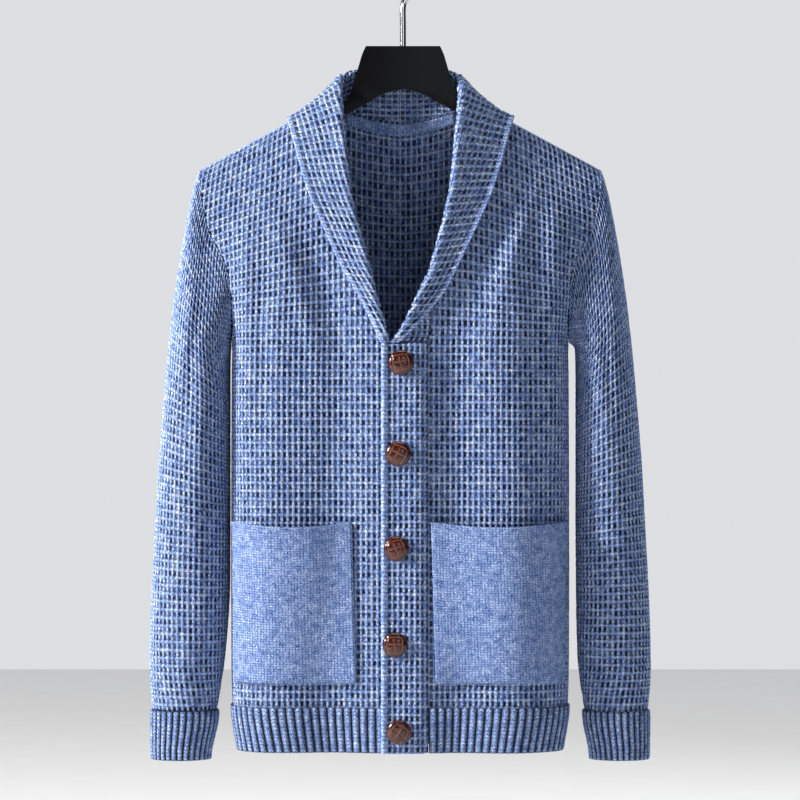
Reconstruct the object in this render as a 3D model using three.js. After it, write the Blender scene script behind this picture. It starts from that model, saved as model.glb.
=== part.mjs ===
import * as THREE from 'three';

// Shawl collar cardigan on a hanger, in millimetres, +Z up, front towards -Y.
// The origin is the bearing point inside the top of the hook.

// Driving sizes
const wall = 3;
const jersey = 2.4;
const gap = 0.3;
const clothAside = -3;
const clothDown = -12;
const hemZ = -840;
const hemTopZ = -792;
const armpitZ = -405;
const neckX = 80;
const neckZ = -146.5;
const tipX = 215;
const tipZ = -220;
const backNeckZ = -167;
const hangerRound = 14;
const spreadDrop = 220;
const roundness = 3.2;
const bandFrom = -20;
const bandTo = 30;
const underEdge = -17;
const underInner = 20.5;
const lapUntil = 21;
const ribHeight = 1.5;
const ribPitch = 8.6;
const sleeveApart = { 1: 3.6, [-1]: 2.4 };
const seamApart = { front: 0.6, back: 1, atShoulder: 2.9 };
const tape = { half: 58, from: 14, to: 1.5, thick: 1.2 };

const knitBlue = new THREE.MeshStandardMaterial({ color: 0x7390bf, roughness: 0.95, metalness: 0 });
const ribBlue = new THREE.MeshStandardMaterial({ color: 0x6c89b9, roughness: 0.95, metalness: 0 });
const jerseyBlue = new THREE.MeshStandardMaterial({ color: 0x86a3cf, roughness: 0.95, metalness: 0 });
const buttonBrown = new THREE.MeshStandardMaterial({ color: 0x3a1712, roughness: 0.3, metalness: 0 });
const hangerBlack = new THREE.MeshStandardMaterial({ color: 0x151517, roughness: 0.4, metalness: 0 });
const chrome = new THREE.MeshStandardMaterial({ color: 0xc9ccd0, roughness: 0.12, metalness: 1 });

// Body sections: half width, front depth and back depth at each height
const body = [
  { z: -840, half: 173, front: 58, back: 50 },
  { z: -792, half: 179.5, front: 66, back: 54 },
  { z: -700, half: 181, front: 68, back: 55 },
  { z: -560, half: 181, front: 70, back: 56 },
  { z: -440, half: 180.5, front: 71, back: 56 },
  { z: -405, half: 180.5, front: 71, back: 56 },
  { z: -380, half: 185, front: 71, back: 56 },
  { z: -345, half: 197, front: 70, back: 56 },
  { z: -306, half: 214, front: 70, back: 56 },
  { z: -250, half: 238, front: 70, back: 56 },
  { z: -215, half: 248, front: 70, back: 56 },
  { z: -145, half: 258, front: 70, back: 56 },
];

// Distance of the armhole seam from the middle at each height
const armhole = [
  { z: -405, x: 180.5 },
  { z: -395, x: 179.6 },
  { z: -380, x: 179.2 },
  { z: -345, x: 181 },
  { z: -324, x: 185.5 },
  { z: -306, x: 194 },
  { z: -288, x: 203.5 },
  { z: -250, x: 212.5 },
  { z: -220, x: 215 },
];

// Soft vertical folds of the fronts and back: place, reach, half breadth and height
const folds = [
  { face: -1, x: -168, top: -240, bottom: -620, broad: 13, high: 7 },
  { face: -1, x: -146, top: -270, bottom: -560, broad: 11, high: -4 },
  { face: -1, x: -84, top: -330, bottom: -600, broad: 20, high: 3 },
  { face: -1, x: 166, top: -230, bottom: -600, broad: 13, high: 7 },
  { face: -1, x: 143, top: -260, bottom: -520, broad: 12, high: -4 },
  { face: -1, x: 92, top: -340, bottom: -590, broad: 22, high: 3 },
  { face: 1, x: -150, top: -250, bottom: -640, broad: 16, high: 6 },
  { face: 1, x: -70, top: -230, bottom: -560, broad: 24, high: -4 },
  { face: 1, x: 10, top: -210, bottom: -620, broad: 26, high: 4 },
  { face: 1, x: 88, top: -240, bottom: -580, broad: 22, high: -4 },
  { face: 1, x: 154, top: -250, bottom: -600, broad: 15, high: 6 },
];

// Sleeve rings down the arm: outer and inner edge of each, and its half depth
const sleeveRings = [
  { v: 0, outX: 215.4, outZ: -220, inX: 180.9, inZ: -405, deep: 46 },
  { v: 0.04, outX: 219, outZ: -230, inX: 182.6, inZ: -407, deep: 47 },
  { v: 0.1, outX: 225.5, outZ: -256, inX: 183.6, inZ: -411, deep: 49 },
  { v: 0.2, outX: 235, outZ: -307, inX: 184.2, inZ: -421, deep: 51 },
  { v: 0.3, outX: 243, outZ: -360, inX: 184.5, inZ: -437, deep: 52 },
  { v: 0.4, outX: 249, outZ: -413, inX: 184.5, inZ: -463, deep: 52 },
  { v: 0.5, outX: 254, outZ: -468, inX: 184.5, inZ: -502, deep: 51 },
  { v: 0.6, outX: 259, outZ: -530, inX: 184.5, inZ: -552, deep: 49 },
  { v: 0.7, outX: 263, outZ: -600, inX: 184.5, inZ: -610, deep: 46 },
  { v: 0.8, outX: 267, outZ: -675, inX: 185, inZ: -678, deep: 43 },
  { v: 0.9, outX: 269, outZ: -740, inX: 186.5, inZ: -740, deep: 39 },
  { v: 0.95, outX: 268.5, outZ: -770, inX: 189.5, inZ: -770, deep: 36.5 },
  { v: 1, outX: 266, outZ: -798, inX: 194, inZ: -798, deep: 34 },
];
const cuff = { topZ: -798.4, bottomZ: -851, outX: 265.5, inX: 204.5, deep: 28, ribs: 30 };

// Collar sections from the front point up, over the shoulder and round to the middle back:
// neck seam s, roll line r with its lift off the body, and outer edge e
const collarFront = {
  over: [
    { sx: 30, sz: -405, rx: -9.5, rz: -405, lift: 3.6, ex: -1, ez: -405, fold: 2.4 },
    { sx: 31.5, sz: -397, rx: -3, rz: -397, lift: 4.4, ex: 8, ez: -397, fold: 2.8 },
    { sx: 33.5, sz: -385, rx: 4, rz: -385, lift: 5.5, ex: 20, ez: -384, fold: 3.4 },
    { sx: 36, sz: -371, rx: 11, rz: -371, lift: 6.5, ex: 33, ez: -369, fold: 4 },
    { sx: 40, sz: -350, rx: 20.5, rz: -350, lift: 7.5, ex: 50, ez: -347, fold: 4.4 },
  ],
  under: [
    { sx: 17.6, sz: -405, rx: 12, rz: -405, lift: 3.6, ex: 21, ez: -405, fold: 2.4 },
    { sx: 21.5, sz: -397, rx: 13.5, rz: -397, lift: 4.4, ex: 24, ez: -397, fold: 2.8 },
    { sx: 26, sz: -385, rx: 16.5, rz: -385, lift: 5.5, ex: 29.5, ez: -384, fold: 3.4 },
    { sx: 31.5, sz: -371, rx: 20.5, rz: -371, lift: 6.5, ex: 36.5, ez: -369, fold: 4 },
    { sx: 38.5, sz: -350, rx: 26.5, rz: -350, lift: 7.5, ex: 48, ez: -347, fold: 4.4 },
  ],
};
const collarNeck = [
  { sx: 44, sz: -329, rx: 31, rz: -329, lift: 8.5, ex: 61, ez: -326, fold: 4.5 },
  { sx: 48.5, sz: -307, rx: 37, rz: -307, lift: 9, ex: 72.5, ez: -303, fold: 4.5 },
  { sx: 54, sz: -280, rx: 44.5, rz: -280, lift: 9.5, ex: 84, ez: -277, fold: 4.5 },
  { sx: 59.5, sz: -254, rx: 50.5, rz: -254, lift: 10, ex: 95, ez: -252, fold: 4.5 },
  { sx: 64.5, sz: -228, rx: 54.5, rz: -228, lift: 10, ex: 103, ez: -228, fold: 4.5 },
  { sx: 69.5, sz: -201, rx: 57, rz: -201, lift: 10, ex: 109.5, ez: -205, fold: 4.5 },
  { sx: 73.5, sz: -180, rx: 59.5, rz: -178, lift: 10, ex: 114, ez: -188, fold: 4.5 },
  { sx: 77, sz: -162, rx: 61.5, rz: -155, lift: 9, ex: 117.5, ez: -175, fold: 4.5 },
  { sx: 79, sz: -151.5, rx: 62.5, rz: -142, lift: 8.5, ex: 119, ez: -169, fold: 4.5 },
  { sx: 80, sz: -146.5, rx: 63, rz: -131, lift: 8, ex: 120, ez: -165, fold: 4.5 },
];
const collarBack = [
  { sx: 78, rx: 62.6, rz: -123.5, lift: -2.7, ex: 118, ez: -169.5, fold: 4.5 },
  { sx: 74, rx: 61.5, rz: -118, lift: 3, ex: 114, ez: -178, fold: 4.5 },
  { sx: 60, rx: 53, rz: -112.5, lift: 4, ex: 96, ez: -184, fold: 4.5 },
  { sx: 40, rx: 37, rz: -110, lift: 4.5, ex: 68, ez: -187, fold: 4.5 },
  { sx: 20, rx: 19, rz: -109, lift: 4.5, ex: 34, ez: -188.5, fold: 4.5 },
  { sx: 0.3, rx: 0.3, rz: -108.5, lift: 4.5, ex: 0.3, ez: -189, fold: 4.5 },
];

// Lean of the collar's seam where it crosses the shoulder
const shoulderLean = { out: 0.48, up: 0.88 };

const pockets = [
  { name: 'pocket_left', side: 1, inTop: 31.5, inBottom: 37, outTop: 174.5, outBottom: 172 },
  { name: 'pocket_right', side: -1, inTop: 50, inBottom: 46, outTop: 176, outBottom: 175 },
];
const pocketTopZ = -595;
const pocketSag = 5;
const pocketBottomZ = -766;
const pocketBulge = 10;

const buttons = [
  { x: 1, z: -427 },
  { x: -1.5, z: -523 },
  { x: -3.5, z: -623 },
  { x: -5, z: -724.5 },
  { x: -1, z: -816 },
];

const hangerOutline = {
  thick: 12,
  edge: 4.2,
  topHalf: 39.8,
  topZ: -87,
  sides: [[44, -96.5], [48, -110], [52.5, -125], [59, -143], [70, -153.5]],
  armStart: 84,
  armEnd: 196,
  under: 4.4,
  armTall: 23,
  arch: [[57, -157.5], [39, -148], [22, -138], [0, -132]],
};
const hook = {
  wire: 3.2,
  inside: 20,
  straightTo: -57,
  bend: [[3, -48.5], [10.5, -41.5]],
  fromDegrees: -35,
  toDegrees: 200,
  stepDegrees: 23.5,
};

// Small numbers
const mix = (a, b, t) => a + (b - a) * t;
const clamp = (t) => Math.min(1, Math.max(0, t));
const smooth = (t) => clamp(t) ** 2 * (3 - 2 * clamp(t));
const steps = (count) => Array.from({ length: count + 1 }, (_, i) => i / count);

// Reads a column of a table at a key, with a smooth curve through its rows
function along(table, key, column, at) {
  const last = table.length - 1;
  const x = Math.min(Math.max(at, table[0][key]), table[last][key]);
  let i = 0;
  while (i < last - 1 && x > table[i + 1][key]) i += 1;
  const slope = (k) => {
    const a = table[Math.max(0, k - 1)];
    const b = table[Math.min(last, k + 1)];
    return (b[column] - a[column]) / (b[key] - a[key]);
  };
  const span = table[i + 1][key] - table[i][key];
  const t = (x - table[i][key]) / span;
  const h = t * t * (3 - 2 * t);
  const ease = t * (1 - t) * (1 - t) * slope(i) - t * t * (1 - t) * slope(i + 1);
  return mix(table[i][column], table[i + 1][column], h) + span * ease;
}

// The garment's form
function shoulderZ(x) {
  return neckZ + (tipZ - neckZ) * Math.max(0, Math.abs(x) - neckX) / (tipX - neckX);
}

function foldHeight(x, z, face) {
  let sum = 0;
  for (const fold of folds) {
    if (fold.face !== face) continue;
    const across = Math.exp(-(((x - fold.x) / fold.broad) ** 2));
    const down = smooth((fold.top - z) / 90) * smooth((z - fold.bottom) / 160);
    sum += fold.high * across * down;
  }
  return sum;
}

function depth(x, z, face) {
  const drop = Math.max(0, shoulderZ(x) - z);
  const reach = Math.min(1, Math.abs(x) / along(body, 'z', 'half', z));
  const side = (1 - reach ** roundness) ** (1 / roundness);
  const full = along(body, 'z', face < 0 ? 'front' : 'back', z);
  const over = hangerRound * Math.sqrt(1 - (1 - Math.min(1, drop / hangerRound)) ** 2);
  const spread = Math.sin(Math.PI / 2 * Math.min(1, drop / spreadDrop));
  const rounded = over * (1 - smooth(drop / 120) * (1 - side));
  return rounded + ((full - hangerRound) * spread + foldHeight(x, z, face)) * side;
}

function bodyPoint(x, z, face) {
  return new THREE.Vector3(x, face * (depth(x, z, face) + gap / 2), z);
}

function bodyNormal(x, z, face) {
  const e = 0.5;
  const byX = (depth(x + e, z, face) - depth(x - e, z, face)) / (2 * e);
  const byZ = (depth(x, z + e, face) - depth(x, z - e, face)) / (2 * e);
  return new THREE.Vector3(-byX, face, -byZ).normalize();
}

function onBody(x, z, face, out) {
  return bodyPoint(x, z, face).addScaledVector(bodyNormal(x, z, face), out);
}

// Solids from a surface: an outer grid of points, an inner grid and the rims between them
function normalOf(point, u, v, closed) {
  const e = 0.004;
  const [u0, u1] = closed ? [u - e, u + e] : [Math.max(0, u - e), Math.min(1, u + e)];
  const [v0, v1] = [Math.max(0, v - e), Math.min(1, v + e)];
  const du = point(u1, v).sub(point(u0, v));
  const dv = point(u, v1).sub(point(u, v0));
  return du.cross(dv).normalize();
}

function wallMesh(name, material, point, us, vs, options) {
  const { facing = 1, out = 0, inward = wall, closed = false, relief, rimNormal } = options;
  const outer = [];
  const inner = [];
  const columns = closed ? us.length - 1 : us.length;
  for (let j = 0; j < vs.length; j += 1) {
    for (let i = 0; i < columns; i += 1) {
      const set = rimNormal && rimNormal(us[i], vs[j]);
      const normal = set || normalOf(point, us[i], vs[j], closed).multiplyScalar(facing);
      const base = point(us[i], vs[j]);
      const raised = out + (relief ? relief(i, j) : 0);
      outer.push(base.clone().addScaledVector(normal, raised));
      inner.push(base.clone().addScaledVector(normal, -inward));
    }
  }
  const faces = [];
  const quad = (a, b, c, d) => faces.push([a, b, c], [a, c, d]);
  const back = outer.length;
  const wide = closed ? columns : columns - 1;
  for (let j = 0; j < vs.length - 1; j += 1) {
    for (let i = 0; i < wide; i += 1) {
      const a = j * columns + i;
      const b = j * columns + (i + 1) % columns;
      quad(a, b, b + columns, a + columns);
      quad(back + b, back + a, back + a + columns, back + b + columns);
    }
  }
  const top = (vs.length - 1) * columns;
  for (let i = 0; i < wide; i += 1) {
    const next = (i + 1) % columns;
    quad(next, i, back + i, back + next);
    quad(top + i, top + next, back + top + next, back + top + i);
  }
  if (!closed) {
    for (let j = 0; j < vs.length - 1; j += 1) {
      const a = j * columns;
      const b = a + columns - 1;
      quad(a, a + columns, back + a + columns, back + a);
      quad(b + columns, b, back + b, back + b + columns);
    }
  }
  return solid(name, material, [...outer, ...inner], faces);
}

function solid(name, material, points, faces) {
  let volume = 0;
  for (const [a, b, c] of faces) volume += points[a].dot(points[b].clone().cross(points[c]));
  const index = faces.flatMap(([a, b, c]) => (volume < 0 ? [a, c, b] : [a, b, c]));
  const geometry = new THREE.BufferGeometry().setFromPoints(points);
  geometry.setIndex(index);
  const mesh = new THREE.Mesh(geometry, material);
  mesh.name = name;
  return mesh;
}

// Rows of the panels: level up to the armpit, then tilting to the shoulder line
const rowsBelow = 8;
const rowsAbove = 10;
const armpitRow = rowsBelow / (rowsBelow + rowsAbove);
const panelRows = steps(rowsBelow + rowsAbove);
panelRows.splice(-1, 0, mix(panelRows.at(-2), 1, 0.5));

// Places across the back, closer at the neck opening and at the sides
const backXs = [0, 15, 30, 45, 60, 70, 75, 80, 104, 132, 158, 180, 197, 208, 213.5, 215];
const backTurns = backXs.map((x) => Math.asin(x / tipX) / Math.PI);
const backColumns = [
  ...backTurns.slice(1).reverse().map((t) => 0.5 - t),
  ...backTurns.map((t) => 0.5 + t),
];

function rowHeight(v, topZ) {
  if (v <= armpitRow) return mix(hemTopZ + gap, armpitZ, v / armpitRow);
  const rise = (1 - Math.cos(Math.PI * (v - armpitRow) / (1 - armpitRow))) / 2;
  return mix(armpitZ, topZ, rise);
}

function edgeX(z) {
  return z <= armpitZ ? along(body, 'z', 'half', z) : along(armhole, 'z', 'x', z);
}

const backNeck = (x) => backNeckZ + (neckZ - backNeckZ) * (Math.abs(x) / neckX) ** 1.6;

// Height off the body of the collar's stand where its outer edge lies over it
function standHeight(row) {
  if (row.ex >= row.sx) return -wall;
  const share = (row.sx - row.ex) / (row.sx - row.rx);
  return mix(-wall / 2, row.lift - row.fold, share);
}

// Collar curves along its length, 0 at the front point and 1 at the middle back
function collarCurves(side) {
  const rows = [...collarFront[side > 0 ? 'over' : 'under'], ...collarNeck, ...collarBack];
  const faceOf = (row) => (row.sz === undefined ? 1 : -1);
  const seams = [];
  const rolls = [];
  const edges = [];
  const normals = [];
  for (const row of rows) {
    const face = faceOf(row);
    const sz = row.sz ?? backNeck(row.sx);
    const normal = bodyNormal(side * row.sx, sz, face);
    if (row.sz === neckZ) normal.set(side * shoulderLean.out, 0, shoulderLean.up).normalize();
    const lead = face > 0 ? [0, 0, 1] : [-side, 0, row.sz > -150 ? 0.7 : 0.2];
    const apart = (face > 0 ? seamApart.back : seamApart.front)
      * (row.sx > 70 ? seamApart.atShoulder : 1);
    seams.push(bodyPoint(side * row.sx, sz, face)
      .addScaledVector(normal, -wall / 2)
      .addScaledVector(new THREE.Vector3(...lead).normalize(), apart));
    normals.push(normal);
    const rollY = face * (depth(side * row.sx, sz, face) + row.lift);
    rolls.push(new THREE.Vector3(side * row.rx, rollY, row.rz));
    const clear = wall / 2 + (face > 0 ? 1.5 : 0.9);
    edges.push(onBody(side * row.ex, row.ez, face, Math.max(clear, standHeight(row) + wall + gap)));
  }
  const curve = (points) => new THREE.CatmullRomCurve3(points, false, 'catmullrom', 0.5);
  const foldRows = rows.map((row, i) => ({ w: i / (rows.length - 1), fold: row.fold }));
  return {
    seam: curve(seams),
    roll: curve(rolls),
    edge: curve(edges),
    normal: curve(normals),
    fold: (w) => along(foldRows, 'w', 'fold', w),
    stations: rows.length - 1,
    neckAt: (rows.length - 1 - collarBack.length) / (rows.length - 1),
  };
}
const collar = { 1: collarCurves(1), [-1]: collarCurves(-1) };

const standShare = 0.28;
const foldShare = 0.22;

function collarPoint(side, w, v) {
  const curves = collar[side];
  const seam = curves.seam.getPoint(w);
  const roll = curves.roll.getPoint(w);
  const edge = curves.edge.getPoint(w);
  const e = 0.002;
  const ahead = curves.roll.getPoint(Math.min(1, w + e));
  const tangent = ahead.sub(curves.roll.getPoint(Math.max(0, w - e)));
  if (w > 1 - e) tangent.set(-side, 0, 0);
  const away = seam.clone().add(edge).multiplyScalar(0.5).sub(roll).normalize();
  const up = tangent.cross(away).multiplyScalar(-side).normalize();
  const radius = curves.fold(w);
  const centre = roll.clone().addScaledVector(away, radius);
  const inEnd = centre.clone().addScaledVector(up, -radius);
  const outEnd = centre.clone().addScaledVector(up, radius);
  if (v <= standShare) return seam.lerp(inEnd, v / standShare);
  if (v <= standShare + foldShare) {
    const turn = Math.PI * (v - standShare) / foldShare;
    return centre.addScaledVector(up, -radius * Math.cos(turn))
      .addScaledVector(away, -radius * Math.sin(turn));
  }
  const t = (v - standShare - foldShare) / (1 - standShare - foldShare);
  const reach = outEnd.distanceTo(edge) * 0.5;
  const bend = outEnd.clone().addScaledVector(away, reach);
  const first = outEnd.clone().lerp(bend, t);
  return first.lerp(bend.lerp(edge, t), t);
}

// Edge of a front along the band and then up the collar seam
function frontEdgeX(side, z) {
  if (z <= armpitZ) return side > 0 ? bandTo + gap : -underEdge;
  const curves = collar[side];
  let low = 0;
  let high = curves.neckAt;
  for (let i = 0; i < 30; i += 1) {
    const middle = (low + high) / 2;
    if (curves.seam.getPoint(middle).z < z) low = middle;
    else high = middle;
  }
  return Math.min(neckX, Math.abs(curves.seam.getPoint(low).x) + 0.8);
}

function frontPoint(side, u, v) {
  const across = Math.sin(u * Math.PI / 2);
  const innerZ = rowHeight(v, neckZ);
  const outerZ = rowHeight(v, tipZ);
  const x = side * mix(frontEdgeX(side, innerZ), edgeX(outerZ), across);
  return bodyPoint(x, mix(innerZ, outerZ, across), -1);
}

function backPoint(u, v) {
  const s = 2 * u - 1;
  const across = Math.sin(s * Math.PI / 2);
  const topX = Math.abs(tipX * across);
  const topZ = topX < neckX ? backNeck(topX) : shoulderZ(topX);
  return bodyPoint(edgeX(rowHeight(v, tipZ)) * across, rowHeight(v, topZ), 1);
}

function makeFront(side) {
  const name = side > 0 ? 'front_left' : 'front_right';
  const point = (u, v) => frontPoint(side, u, v);
  return wallMesh(name, knitBlue, point, steps(12), panelRows, { facing: side });
}

// Armhole seam round the arm: 0 at the shoulder tip, a quarter at the front, half at the armpit
function armholeAt(side, a) {
  const face = a <= 0.5 ? -1 : 1;
  const turn = a <= 0.5 ? a * 2 : 2 - a * 2;
  const v = mix(1, armpitRow, turn);
  const z = rowHeight(v, tipZ);
  const point = bodyPoint(side * edgeX(z), z, face);
  if (turn < 0.001 || turn > 0.999) point.y = 0;
  point.x += side * mix(2, 3, smooth(turn * 2 - 1)) * gap;
  const panel = face < 0 ? (p, q) => frontPoint(side, p, q) : (p, q) => backPoint(p, q);
  const edge = face < 0 ? 1 : (side + 1) / 2;
  const normal = turn < 0.65 ? normalOf(panel, edge, v, false) : null;
  return { point, normal: normal && normal.multiplyScalar(face < 0 ? side : -1) };
}

function sleevePoint(side, a, v) {
  const row = (column) => along(sleeveRings, 'v', column, v);
  const angle = 2 * Math.PI * a;
  const ring = (outX, outZ, inX, inZ, deep) => new THREE.Vector3(
    side * mix(inX, outX, (1 + Math.cos(angle)) / 2),
    -deep * Math.sin(angle),
    mix(inZ, outZ, (1 + Math.cos(angle)) / 2),
  );
  const first = sleeveRings[0];
  const apart = sleeveApart[side] * smooth(v / 0.12);
  const start = ring(first.outX, first.outZ, first.inX, first.inZ, first.deep);
  const here = ring(row('outX'), row('outZ'), row('inX') + apart, row('inZ'), row('deep'));
  const wrapped = a - Math.floor(a);
  const seam = armholeAt(side, wrapped).point.sub(start);
  return here.addScaledVector(seam, 1 - smooth(v / 0.32));
}

function makeSleeve(side) {
  const around = steps(2 * rowsAbove);
  const point = (u, v) => sleevePoint(side, u, v);
  const rings = sleeveRings.map((row) => row.v);
  const rimNormal = (u, v) => (v === 0 ? armholeAt(side, u).normal : null);
  const name = side > 0 ? 'sleeve_left' : 'sleeve_right';
  return wallMesh(name, knitBlue, point, around, rings, { facing: side, closed: true, rimNormal });
}

function cuffPoint(side, a, v) {
  const top = sleeveRings.at(-1);
  const apart = sleeveApart[side] * (1 - v);
  const outX = mix(top.outX, cuff.outX, v);
  const inX = mix(top.inX, cuff.inX, smooth(v)) + apart;
  const angle = 2 * Math.PI * a;
  const x = mix(inX, outX, (1 + Math.cos(angle)) / 2);
  const y = -mix(top.deep, cuff.deep, v) * Math.sin(angle);
  return new THREE.Vector3(side * x, y, mix(cuff.topZ, cuff.bottomZ, v));
}

// A rib takes three columns: a furrow and the two edges of its ridge
const ribRelief = (i) => (i % 3 === 0 ? 0 : ribHeight);

function makeCuff(side) {
  const point = (u, v) => cuffPoint(side, u, v);
  const options = { facing: side, closed: true, relief: ribRelief };
  const name = side > 0 ? 'cuff_left' : 'cuff_right';
  return wallMesh(name, ribBlue, point, steps(cuff.ribs * 3), [0, 0.45, 1], options);
}

// Points evenly spaced along the body's section between two places from the middle
function evenSection(z, face, from, to) {
  const samples = 240;
  const half = along(body, 'z', 'half', z);
  const turnOf = (x) => Math.asin(Math.min(1, Math.max(-1, x / half)));
  const points = steps(samples).map((t) => {
    const x = half * Math.sin(mix(turnOf(from), turnOf(to), t));
    return bodyPoint(x, z, face);
  });
  const lengths = [0];
  for (let i = 1; i <= samples; i += 1) {
    lengths.push(lengths[i - 1] + points[i].distanceTo(points[i - 1]));
  }
  const total = lengths[samples];
  const at = (u) => {
    const target = clamp(u) * total;
    let i = 0;
    while (i < samples - 1 && lengths[i + 1] < target) i += 1;
    const share = (target - lengths[i]) / (lengths[i + 1] - lengths[i]);
    return points[i].clone().lerp(points[i + 1], share);
  };
  return { at, total };
}

function makeHem(name, face, fromX, toX, flatTo, facing) {
  const cache = new Map();
  const section = (z) => {
    if (!cache.has(z)) {
      const half = along(body, 'z', 'half', z);
      const limit = (x) => (Math.abs(x) > 100 ? Math.sign(x) * half : x);
      cache.set(z, evenSection(z, face, limit(fromX), limit(toX)));
    }
    return cache.get(z);
  };
  const ribs = Math.round(section(hemTopZ).total / ribPitch);
  const point = (u, v) => section(mix(hemZ, hemTopZ, v)).at(u);
  const us = steps(ribs * 3);
  const relief = (i) => (Math.abs(point(us[i], 0.5).x) < flatTo ? 0 : ribRelief(i));
  return wallMesh(name, ribBlue, point, us, [0, 1], { facing, relief });
}

// Bands: the upper one laps the other and steps down to the left front at its seam
function bandLift(x) {
  return (wall + 2 * gap) * (1 - smooth((x - lapUntil) / (bandTo - lapUntil)));
}

function makeBand(name, fromX, toX, lifted) {
  const point = (u, v) => {
    const x = mix(fromX, toX, u);
    const z = mix(hemZ, armpitZ - 1, v);
    return onBody(x, z, -1, lifted ? bandLift(x) : 0);
  };
  const us = lifted ? [0, 0.1, 0.45, 0.8, 0.88, 1] : steps(3);
  return wallMesh(name, knitBlue, point, us, steps(14), {});
}

function makeCollar(side) {
  const point = (u, v) => collarPoint(side, u, v);
  const last = collar[side].stations;
  const fine = steps(last).flatMap((w, i) => (i > last - 7 && i < last ? [w, w + 0.5 / last] : [w]));
  const stand = [0, standShare * 0.5, standShare];
  const turn = [0.25, 0.5, 0.75, 1].map((t) => standShare + foldShare * t);
  const fall = [0.2, 0.45, 0.72, 1].map((t) => mix(standShare + foldShare, 1, t));
  const rimNormal = (u, v) => (v === 0 ? collar[side].normal.getPoint(u).normalize() : null);
  const half = wall / 2;
  const options = { facing: side, out: half, inward: half, rimNormal };
  const name = side > 0 ? 'collar_left' : 'collar_right';
  return wallMesh(name, knitBlue, point, fine, [...stand, ...turn, ...fall], options);
}

// Tape inside the back of the neck, under the collar seam
function makeNeckTape() {
  const point = (u, v) => {
    const x = mix(-tape.half, tape.half, u);
    return onBody(x, backNeck(x) - mix(tape.from, tape.to, v), 1, -wall - 2 * gap);
  };
  const options = { facing: -1, inward: tape.thick };
  return wallMesh('neck_tape', jerseyBlue, point, steps(16), [0, 1], options);
}

// Pockets stand off the fronts like shallow pouches, open at the top
function makePocket(spec) {
  const point = (u, v) => {
    const inX = mix(spec.inBottom, spec.inTop, v);
    const outX = mix(spec.outBottom, spec.outTop, v);
    const top = pocketTopZ - pocketSag * Math.sin(Math.PI * u);
    const bulge = pocketBulge * Math.sin(Math.PI * u) ** 0.7 * Math.sin(Math.PI / 2 * v) ** 0.6;
    const z = mix(pocketBottomZ, top, v);
    return onBody(spec.side * mix(inX, outX, u), z, -1, jersey + 3 * gap + bulge);
  };
  const options = { facing: spec.side, inward: jersey };
  return wallMesh(spec.name, jerseyBlue, point, steps(10), steps(7), options);
}

// Domed buttons, flat behind
function makeButton(place, number) {
  const profile = [[0, 0], [11, 0], [13.4, 1.8], [12.9, 4.2], [9.4, 6.4], [4.6, 7.6], [0, 7.9]];
  const geometry = new THREE.LatheGeometry(profile.map(([r, h]) => new THREE.Vector2(r, h)), 18);
  const mesh = new THREE.Mesh(geometry, buttonBrown);
  const out = bandLift(place.x) + gap;
  mesh.position.copy(onBody(place.x, place.z, -1, out));
  const normal = bodyNormal(place.x, place.z, -1);
  mesh.quaternion.setFromUnitVectors(new THREE.Vector3(0, 1, 0), normal);
  mesh.name = `button_${number}`;
  return mesh;
}

// Hanger: a flat plate at the neck with arms that run down inside the shoulders
function makeHanger() {
  const spec = hangerOutline;
  const half = (side) => {
    const armTop = (x) => shoulderZ(side * x - clothAside) - spec.under;
    return [
      [spec.topHalf, spec.topZ],
      ...spec.sides,
      [spec.armStart, armTop(spec.armStart)],
      [spec.armEnd, armTop(spec.armEnd)],
      [spec.armEnd, armTop(spec.armEnd) - spec.armTall],
      ...spec.arch,
    ].map(([x, z]) => new THREE.Vector2(side * x, z));
  };
  const shape = new THREE.Shape([...half(1), ...half(-1).slice(0, -1).reverse()]);
  const geometry = new THREE.ExtrudeGeometry(shape, {
    depth: spec.thick - 2 * spec.edge,
    bevelThickness: spec.edge,
    bevelSize: spec.edge,
    bevelOffset: -spec.edge,
    bevelSegments: 2,
  });
  geometry.translate(0, 0, spec.edge - spec.thick / 2);
  geometry.rotateX(Math.PI / 2);
  const mesh = new THREE.Mesh(geometry, hangerBlack);
  mesh.name = 'hanger';
  mesh.position.z = clothDown;
  return mesh;
}

function makeHook() {
  const radius = hook.inside + hook.wire;
  const centre = -hook.inside;
  const foot = hangerOutline.topZ + clothDown + gap;
  const points = [
    [0, foot],
    [0, mix(foot, hook.straightTo, 0.5)],
    [0, hook.straightTo],
    ...hook.bend,
  ];
  for (let turned = hook.fromDegrees; turned <= hook.toDegrees; turned += hook.stepDegrees) {
    const turn = THREE.MathUtils.degToRad(turned);
    points.push([radius * Math.cos(turn), centre + radius * Math.sin(turn)]);
  }
  const path = new THREE.CatmullRomCurve3(points.map(([x, z]) => new THREE.Vector3(x, 0, z)));
  const section = new THREE.Shape(steps(9).slice(0, -1).map((t) => {
    const turn = 2 * Math.PI * t;
    return new THREE.Vector2(hook.wire * Math.cos(turn), hook.wire * Math.sin(turn));
  }));
  const geometry = new THREE.ExtrudeGeometry(section, { steps: 34, extrudePath: path });
  const mesh = new THREE.Mesh(geometry, chrome);
  mesh.name = 'hanger_hook';
  return mesh;
}

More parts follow.
